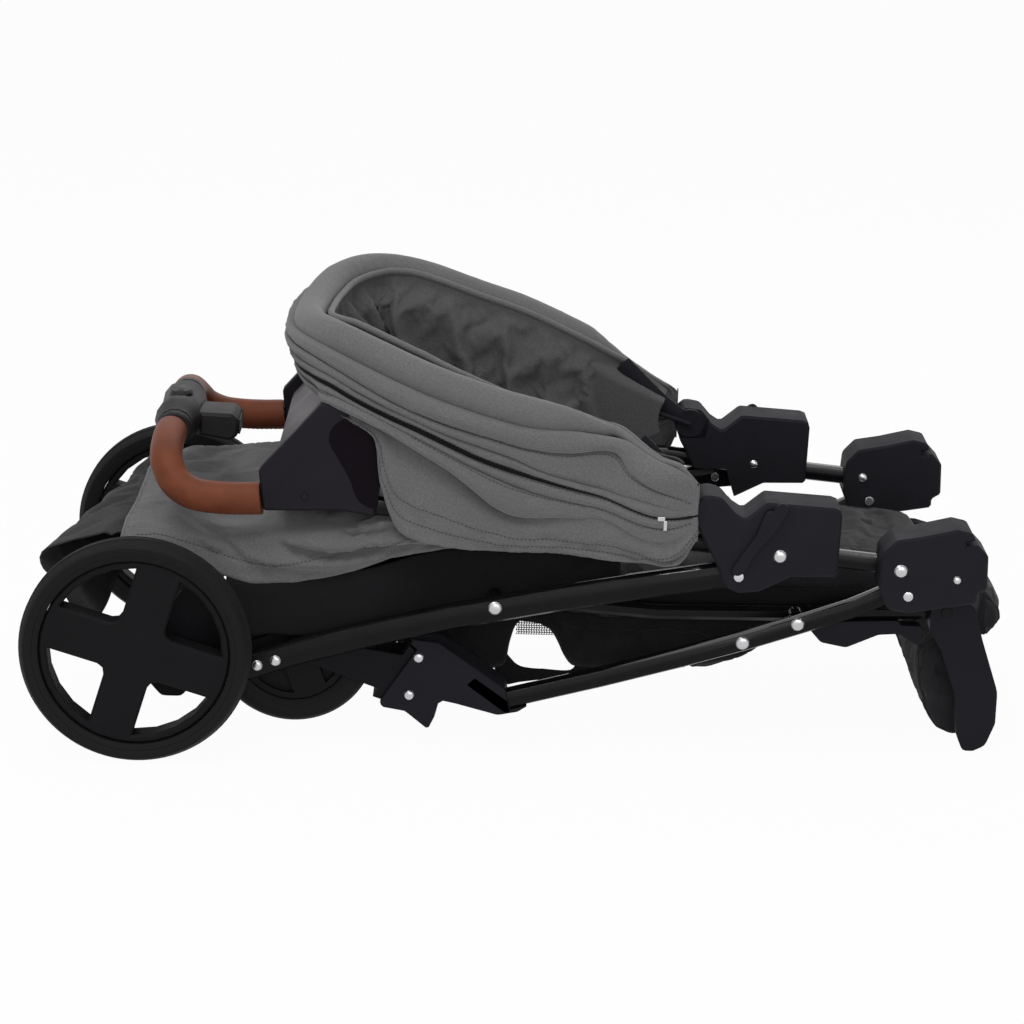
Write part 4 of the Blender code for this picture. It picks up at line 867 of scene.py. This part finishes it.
# The flap's way from its seam: (share of its reach, fall that fades to the far side, fall, extra reach).
FLAP_KEYS = [(0, 0, 0, 0), (0.5, 0.009, 0.002, 0), (1.0, 0.014, 0.004, 0), (1.0, 0.022, 0.012, 0.004),
             (0.8, 0.04, 0.02, 0), (0.5, 0.066, 0.038, -0.006)]
grid = []
for i in range(61):
    t = i / 60
    y = -0.15 + 0.3 * t
    reach = 0.066 * (1 - t) ** 1.15 + 0.0136
    row = curve([(FLAP_START - reach * a - e, y, FLAP_TOP - b * (1 - t) - c) for a, b, c, e in FLAP_KEYS], 31)
    line = []
    for j, p in enumerate(row):
        v = j / 30
        wave = 0.0035 * sin(y * 95 + v * 2.5) * ease(v, 0, 0.4)
        wave += 0.003 * wob(y * 26, v * 3, 8) * ease(v, 0, 0.3)
        line.append(p + Vector((wave * 0.8, 0, wave * 0.6 * (1 - t * 0.5))))
    grid.append(line)
flap = cloth("flap_cloth", grid, LINER_AND_SHADE)
wrinkled(flap, grid, lambda i, j: j == 0, 0.06, 0.007, 0.4)
belongs(flap, "backrest", "head_flap")
rows = [sewn("flap_stitches", grid, 28, body="backrest", span=range(1, 60))]
spread_out(flap, grid)

# Padded pieces


def stuffed(name, node, body, mat, cell=0.0055, start=0.0022, swell=0.006):
    """The CAD pad as a soft piece: remeshed, made a little smaller, and moved unevenly by up to swell.

    The remesh stays on under the simulation, so the points of the two meshes are paired by their order
    alone.  The move is a soft unevenness, not the true shape of a blown-up pad.
    """
    piece = placed(name, frame["nodes"][node].data.copy())
    piece.modifiers.new("weld", "WELD").merge_threshold = WELD_GAP
    remesh = piece.modifiers.new("remesh", "REMESH")
    remesh.mode = "VOXEL"
    remesh.voxel_size = cell
    piece.data = baked(piece)
    before = [v.co - v.normal * start for v in piece.data.vertices]
    for v, co in zip(piece.data.vertices, before):
        v.co = co
    after = before
    after = simulated(piece, 18, 0, quality=6, mass=0.25, shear_stiffness=4, bending_stiffness=0.3,
                      use_pressure=True, uniform_pressure_force=4.0, shrink_min=-0.04)
    for v, a, b in zip(piece.data.vertices, before, after):
        v.co = a + capped(b - a, swell)
    piece.modifiers.clear()
    mesh = piece.data
    mesh.materials.clear()
    mesh.materials.append(mat)
    shaded_smooth(mesh)
    while mesh.uv_layers:
        mesh.uv_layers.remove(mesh.uv_layers[0])
    layer = mesh.uv_layers.new(name="cloth")
    for loop in mesh.loops:
        co = mesh.vertices[loop.vertex_index].co
        layer.data[loop.index].uv = (co.x + co.z * 0.3, co.y + co.z)
    soft = piece.modifiers.new("soft", "SUBSURF")
    soft.levels = soft.render_levels = 1
    belongs(piece, body, node)
    return piece


def edge_piping(piece, node, body, mat, inset=0.01, radius=0.0017):
    """Piping round a pad, near both of its ends."""
    bpy.context.view_layer.update()
    tree = BVHTree.FromObject(piece, bpy.context.evaluated_depsgraph_get())
    low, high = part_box(node)
    flat = [(v.co.x, v.co.z) for v in frame["nodes"][node].data.vertices]
    hull = [Vector((flat[k][0], 0, flat[k][1])) for k in geometry.convex_hull_2d(flat)]
    hull = curve(hull + hull[:1], 140)
    for label, y in (("near", low.y + inset), ("far", high.y - inset)):
        path = [tree.find_nearest(Vector((p.x, y, p.z)))[0] for p in hull]
        path = [p + Vector((MIDDLE_X, 0, 0)) for p in path]
        belongs(swept(f"{piece.name}_piping_{label}", path, radius, mat, 8), body)


PADS = [("back_padding", "back_pad", "backrest", "black_fabric", 0.6),
        ("seat_padding", "seat_pad", "seat", "black_fabric", 0.6),
        ("leg_padding", "leg_pad", "leg_rest", "lining_fabric", 0.5),
        ("knee_padding", "knee_roll", "leg_rest", "black_fabric", 0.8)]
for name, node, body, slot, fill in PADS:
    edge_piping(stuffed(name, node, body, BLACK), node, body, BLACK)

# Basket: a slack bag with a bound rim

BASKET_RIM = [(0.105, 0.148), (0.3, 0.146), (0.4, 0.134), (0.4664, 0.1312), (0.64, 0.127)]
BASKET_SOLE = [(0.105, 0.148), (0.115, 0.113), (0.15, 0.1), (0.24, 0.093), (0.29, 0.08),
               (0.325, 0.067), (0.35, 0.063), (0.363, 0.068), (0.368, 0.09), (0.379, 0.115),
               (0.405, 0.113), (0.419, 0.1), (0.432, 0.074), (0.445, 0.068), (0.5, 0.067),
               (0.592, 0.077), (0.629, 0.1), (0.64, 0.127)]
BASKET_WALL = 0.118
grid = []
for x, z, _ in curve([(x, z, 0) for x, z in BASKET_SOLE], 130):
    rim = max(table(x, BASKET_RIM), z)
    droop = min(1.0, (rim - z) / 0.045)
    half = [(x, -BASKET_WALL, rim), (x, -BASKET_WALL + 0.002 - 0.004 * droop, (rim + z) / 2),
            (x, -BASKET_WALL + 0.014 * droop, z + 0.004 * droop), (x, 0.0, z - 0.001)]
    line = []
    for j, p in enumerate(curve(across(half), 61)):
        wall = ease(abs(p.y), 0.09, 0.112) * ease(min(j, 60 - j) / 10)
        slack = 0.0045 * wob(p.x * 34, p.y * 6, p.z * 14) + 0.006 * crease(p.x * 18, p.y * 6, p.z * 12)
        line.append(p + Vector((0, sign(p.y) * wall * slack, (1 - wall) * slack * droop)))
    grid.append(line)
bag = cloth("basket_cloth", grid, DARK)
wrinkled(bag, grid, lambda i, j: j in (0, 60) or not 2 < i < 127, 0.06, 0.006, 0.4)
belongs(bag, "seat", "basket")
rows = [sewn(f"basket_stitches_{j}", grid, j, DARK_THREAD, body="seat", span=range(3, 127)) for j in (3, 57)]
rims = [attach(swept(f"basket_rim_{j}", [row[j] for row in grid], 0.0024, TAPE, 8), "seat") for j in (0, 60)]
spread_out(bag, grid)

# A net closes the top of the gap in the basket's side, and a hem runs on below it: (x, top, bottom).
GAP_HEM = [(0.356, 0.086, 0.056), (0.364, 0.09, 0.05), (0.37, 0.08, 0.049), (0.383, 0.069, 0.052),
           (0.41, 0.0665, 0.056), (0.433, 0.066, 0.06), (0.442, 0.075, 0.062),
           (0.462, 0.085, 0.07)]
for label, side in SIDES:
    grid = [[(0.3765 + 0.0026 * i + 0.0013 * (k % 2), side * 0.1195, 0.12 - 0.0024 * k) for i in range(16)]
            for k in range(7)]
    net = belongs(surface(f"basket_net_{label}", grid, TAPE), "seat")
    net.modifiers.new("wires", "WIREFRAME").thickness = 0.0009
    grid = [[Vector((x, side * (0.114 + 0.0012 * wob(x * 90, k)), top + (low - top) * k / 8))
             for k in range(9)] for x, top, low in curve(GAP_HEM, 40)]
    hung(f"basket_hem_{label}", grid, "seat")

# Black cloth hangs under both edges of the backrest cover, between the seat and the legs.
SKIRT_TOP = [(0.085, 0.176), (0.108, 0.1725), (0.15, 0.174), (0.1885, 0.1785), (0.308, 0.204), (0.48, 0.206)]
SKIRT_LOW = [(0.085, 0.15), (0.11, 0.118), (0.18, 0.116), (0.225, 0.124), (0.3, 0.124),
             (0.36, 0.133), (0.425, 0.148), (0.48, 0.156)]
for label, side in SIDES:
    grid = []
    for i in range(90):
        x = 0.085 + 0.395 * i / 89
        top, low = table(x, SKIRT_TOP), table(x, SKIRT_LOW) + 0.004 * wob(x * 40, side)
        beside = 1 - ease(x, 0.225, 0.285)
        line = []
        for k in range(21):
            t = k / 20
            slack = 0.0016 * wob(x * 30 + t, t * 2, side) + 0.0022 * crease(x * 14 + t * 0.8, t * 1.5, side)
            slack *= (1 - 0.7 * beside) * sin(pi * min(t * 1.4, 1.0))
            out = 0.15 + beside * (0.0195 + 0.0042 * ease(t, 0.0, 0.2)) + slack
            line.append(Vector((x, side * out, top + (low - top) * t)))
        grid.append(line)
    hung(f"under_cloth_{label}", grid, "backrest")

# The seat's own black cloth hangs below its rails.
for label, side in SIDES:
    grid = []
    for i in range(70):
        x = 0.43 + 0.305 * i / 69
        drop = 0.042 * (0.75 + 0.45 * wob(x * 14, side, 3)) * sin(pi * min(i / 69 + 0.08, 0.92)) ** 0.3
        line = []
        for k in range(17):
            t = k / 16
            slack = 0.0022 * crease(x * 26 + t, t * 1.5, side) + 0.0014 * wob(x * 50, t * 2)
            line.append(Vector((x, side * (0.129 + slack), 0.165 - drop * t)))
        grid.append(line)
    hung(f"seat_skirt_{label}", grid, "seat")

# Bright bolt heads over the heads that the CAD carries


def dome(name, x, z, face, side, radius, body, rise=0.003):
    """A domed head with a thin washer, standing on a face of the part."""
    profile = [(radius * 1.18, 0.0), (radius * 1.18, 0.0006), (radius * 1.06, 0.0008),
               (radius * 1.03, 0.0016)]
    profile += [(radius * 1.03 * cos(a), 0.0016 + (rise - 0.0016) * sin(a)) for a in (0.5, 0.9, 1.25)]
    turns = [2 * pi * k / 24 for k in range(24)]
    grid = [[(x + r * cos(a), face + side * h, z + r * sin(a)) for a in turns] for r, h in profile]
    points, faces, uvs = lattice(grid, closed=True)
    points.append(Vector((x, face + side * rise, z)))
    uvs.append((0.0, 0.0))
    base, tip = len(points) - 25, len(points) - 1
    faces += [(base + k, tip, base + (k + 1) % 24) for k in range(24)]
    made = shown(name, points, [f if side > 0 else f[::-1] for f in faces], STEEL, uvs)
    belongs(made, body)


# Each head: x, z, the face it stands on, 1 where it faces outwards, radius, body.
HEADS = {"leg_seat": (0.3546, 0.1565, 0.194, 1, 0.0058, "rear_legs"),
         "leg_end_a": (0.1362, 0.096, 0.194, 1, 0.0046, "rear_legs"),
         "leg_end_b": (0.118, 0.0905, 0.194, 1, 0.0046, "rear_legs"),
         "mid": (0.6351, 0.2191, 0.2, 1, 0.0058, "push_frame"),
         "fold": (0.7557, 0.2068, 0.2, 1, 0.0058, "push_frame"),
         "fold_small": (0.8118, 0.199, 0.2, 1, 0.0036, "push_frame"),
         "mid_inner": (0.6351, 0.2191, 0.15, -1, 0.0042, "push_frame"),
         "fold_inner": (0.7557, 0.2068, 0.15, -1, 0.0042, "push_frame"),
         "leg_front": (0.6042, 0.12, 0.175, 1, 0.0058, "front_legs"),
         "leg_pivot": (0.6586, 0.1413, 0.175, 1, 0.0058, "front_legs"),
         "foot_high": (0.279, 0.096, 0.1745, 1, 0.0046, "front_legs"),
         "foot_low": (0.27, 0.056, 0.1745, 1, 0.0046, "front_legs")}
for name, (x, z, face, outward, radius, body) in HEADS.items():
    for label, side in SIDES:
        dome(f"head_{name}_{label}", x, z, side * face, side * outward, radius, body)

# Fittings on the near faces


def plate(name, outline, face, side, thick, mat, edge=0.0004):
    """A thin moulded plate on a face of the push frame, from its side-view outline."""
    outline = [Vector((x, z, 0)) for x, z in outline]
    shape = [(p.x, p.y) for p in curve(outline + outline[:1], 60)[:-1]]
    if sum(a[0] * b[1] - b[0] * a[1] for a, b in zip(shape, shape[1:] + shape[:1])) * side < 0:
        shape.reverse()
    count = len(shape)
    points = [(x, side * face, z) for x, z in shape] + [(x, side * (face + thick), z) for x, z in shape]
    faces = [(k, (k + 1) % count, count + (k + 1) % count, count + k) for k in range(count)]
    faces += [tuple(range(count - 1, -1, -1)), tuple(range(count, 2 * count))]
    made = shown(name, points, faces, mat)
    made.data.set_sharp_from_angle(angle=radians(40))
    rounded_edges(made, edge)
    belongs(made, "push_frame")


# The recess on each console wing is a flat, very dark plate of painted shade, not a hollow in the wing.
RECESS_SHADE_OUTLINE = [(0.203, 0.344), (0.19, 0.333), (0.187, 0.318), (0.196, 0.302), (0.208, 0.28),
                (0.216, 0.26), (0.232, 0.252), (0.2375, 0.27), (0.237, 0.305), (0.222, 0.335)]
RIB = [(0.636, 0.2745), (0.6415, 0.268), (0.629, 0.245), (0.612, 0.224), (0.601, 0.204), (0.5935, 0.199),
       (0.588, 0.205), (0.604, 0.231), (0.619, 0.253), (0.629, 0.271)]
for label, side in SIDES:
    plate(f"console_recess_{label}", RECESS_SHADE_OUTLINE, 0.1758, side, 0.0007, RECESS_SHADE)
    plate(f"housing_rib_{label}", RIB, 0.199, side, 0.0055, HINGE, 0.001)
    for k, (z, radius) in enumerate(((0.2606, 0.0016), (0.2568, 0.0013), (0.254, 0.001))):
        bar = swept(f"console_bar_{label}_{k}", [(0.216, side * 0.17, z), (0.247, side * 0.17, z - 0.0035)],
                    radius, STEEL if k == 1 else HUB, 10)
        belongs(bar, "push_frame")

# Handle: leather grips with a seam, and finger ridges on the trigger

GRIP_X, GRIP_Z, HUB_Y = 0.1198, 0.2578, 0.0783
GRIP_PATH = [(GRIP_X, 0.17, GRIP_Z), (0.085, 0.17, 0.257), (0.054, 0.1685, 0.26), (0.035, 0.162, 0.2695),
             (0.0255, 0.151, 0.2825), (0.022, 0.135, 0.2915), (0.021, 0.112, 0.2975), (0.0212, 0.088, 0.3005),
             (0.0215, HUB_Y, 0.3005)]
for label, side in SIDES:
    path = curve([(x, side * y, z) for x, y, z in GRIP_PATH], 90)
    grip = swept(f"grip_{label}", path, 0.0163, GRIP, 32,
                 lambda t, a: 1 + 0.01 * wob(t * 16, cos(a), sin(a)) - 0.05 * peak(min(t, 1 - t), 0.006))
    # Its ends lie flat on the console wing, which leans back, and on the hub.
    for v in grip.data.vertices:
        if v.co.x > GRIP_X - MIDDLE_X - 0.0035:
            v.co.x -= 0.1 * (v.co.z - GRIP_Z)
        if abs(v.co.y) < HUB_Y + 0.004:
            v.co.y = max(abs(v.co.y), HUB_Y) * side
    belongs(grip, "push_frame", f"handle_grip_{label}")
    inner = []
    for i, p in enumerate(path):
        along = (path[min(i + 1, 89)] - path[max(i - 1, 0)]).normalized()
        down = Vector((0, 0, -1)) - along * -along.z
        inner.append((p + down.normalized() * 0.0164, down.normalized()))
    seam, lifts = zip(*inner[3:-2])
    belongs(stitches(f"grip_stitches_{label}", seam, DARK_THREAD, 0.005, 0.0032, 0.0005, lifts),
            "push_frame")

for k in range(5):
    z = 0.285 + 0.0032 * k
    path = [(0.0852, y, z) for y in (-0.021, -0.01, 0.01, 0.021)]
    belongs(swept(f"trigger_ridge_{k}", path, 0.0011, HUB, 8), "trigger")

# Tyres: foam rubber with a moulded ring on the side wall and fine tread lines


TYRE_RING = [(0, 0.8), (0.0015, 0.86), (0.0035, 0.93), (0.005, 0.955), (0.0056, 0.93), (0.0064, 0.965)]
TYRE_TREAD = [(0.0042, 0.86), (0.003, 0.7), (0.002, 0.55), (0.001, 0.36), (0, 0.3), (0.0009, 0.27),
              (0.0009, 0.22), (0, 0.19)]


def tyre(kind, label, x, y, z, radius, rim, half):
    """A tyre's profile, half by half, as (radius, share of the half width), turned about its axle."""
    profile = [(rim + r, w) for r, w in TYRE_RING] + [(radius - 0.3 * (radius - rim), 1.0)]
    profile += [(radius - r, w) for r, w in TYRE_TREAD]
    profile += [(r, -w) for r, w in reversed(profile)]
    grid = [[(x + r * cos(2 * pi * k / 96), y + w * half, z + r * sin(2 * pi * k / 96))
             for r, w in profile] for k in range(97)]
    made = surface(f"tyre_{kind}_{label}", grid, RUBBER, closed=True)
    made.data.set_sharp_from_angle(angle=radians(50))
    belongs(made, f"{kind}_wheel_{label}", f"{kind}_tyre_{label}")


for label, side in SIDES:
    tyre("rear", label, 0.0, side * 0.225, 0.115, radius=0.115, rim=0.095, half=0.018)
    tyre("front", label, 0.1519, side * 0.15, 0.1023, radius=0.083, rim=0.059, half=0.014)


# Camera, light and floor

camera = placed("camera", bpy.data.cameras.new("camera"))
right = Vector((0.99967979, 0, 0.02530457))
up = Vector((-0.02432432, 0.27563736, 0.96095389))
back = Vector((-0.00697489, -0.9612617, 0.27554909))
eye = world((0.34769194, -3.13423438, 1.09935372))
camera.matrix_world = Matrix((
    (right.x, up.x, back.x, eye.x), (right.y, up.y, back.y, eye.y), (right.z, up.z, back.z, eye.z),
    (0, 0, 0, 1)))
FOCAL_PIXELS, FRAME_PIXELS = 3100, 1024
camera.data.sensor_width = 36
camera.data.lens = 36 * FOCAL_PIXELS / FRAME_PIXELS
camera.data.clip_end = 50
bpy.context.scene.camera = camera
bpy.context.scene.view_settings.view_transform = "Standard"


def white_behind(tree, plain, white, output, share=1.0):
    """White for rays from the camera, in mirrors and through glass, and the plain shader for the others."""
    rays = new_node(tree, "LightPath").outputs
    factor = rays["Is Camera Ray"]
    for kind in ("Is Glossy Ray", "Is Transmission Ray"):
        factor = new_node(tree, "Math", [(0, factor), (1, rays[kind])], operation="MAXIMUM").outputs[0]
    part = new_node(tree, "Math", [(0, factor)], operation="MULTIPLY")
    part.inputs[1].default_value = share
    links = enumerate((part.outputs[0], plain.outputs[0], white.outputs[0]))
    tree.links.new(new_node(tree, "MixShader", links).outputs[0], output.inputs["Surface"])


sky = bpy.data.worlds.new("sky")
bpy.context.scene.world = sky
sky.use_nodes = True
tree = sky.node_tree
ambient, seen = (new_node(tree, "Background", Color=(1, 1, 1, 1), Strength=light) for light in (0.4, 1.0))
white_behind(tree, ambient, seen, tree.nodes["World Output"])

mesh = bpy.data.meshes.new("floor")
mesh.from_pydata([(-6, -6, 0), (6, -6, 0), (6, 9, 0), (-6, 9, 0)], [], [(0, 1, 2, 3)])
floor = placed("floor", mesh)
ground = bpy.data.materials.new("floor_paint")
ground.use_nodes = True
tree = ground.node_tree
paint = tree.nodes["Principled BSDF"]
for socket, value in (("Base Color", (0.8, 0.8, 0.8, 1)), ("Roughness", 0.9), ("Specular IOR Level", 0.0)):
    paint.inputs[socket].default_value = value
white = new_node(tree, "Emission", Strength=1.0)
white_behind(tree, paint, white, tree.nodes["Material Output"], share=0.965)
mesh.materials.append(ground)


def lamp(name, place, target, size, power):
    made = placed(name, bpy.data.lights.new(name, "AREA"))
    made.location = place
    made.rotation_euler = (Vector(target) - Vector(place)).to_track_quat("-Z", "Y").to_euler()
    made.data.shape = "RECTANGLE"
    made.data.size, made.data.size_y = size
    made.data.energy = power
    return made


lamps = [lamp("key", (-0.7, -1.1, 2.4), (0, 0, 0.2), (1.6, 1.0), 23),
         lamp("strip", (0, 0.1, 2.6), (0, -0.05, 0.2), (3.0, 0.05), 8),
         lamp("front", (0.6, -2.8, 0.9), (0, 0, 0.25), (2.0, 1.4), 20),
         lamp("rim", (0.3, 2.2, 1.6), (0, 0, 0.2), (2.4, 0.8), 8)]
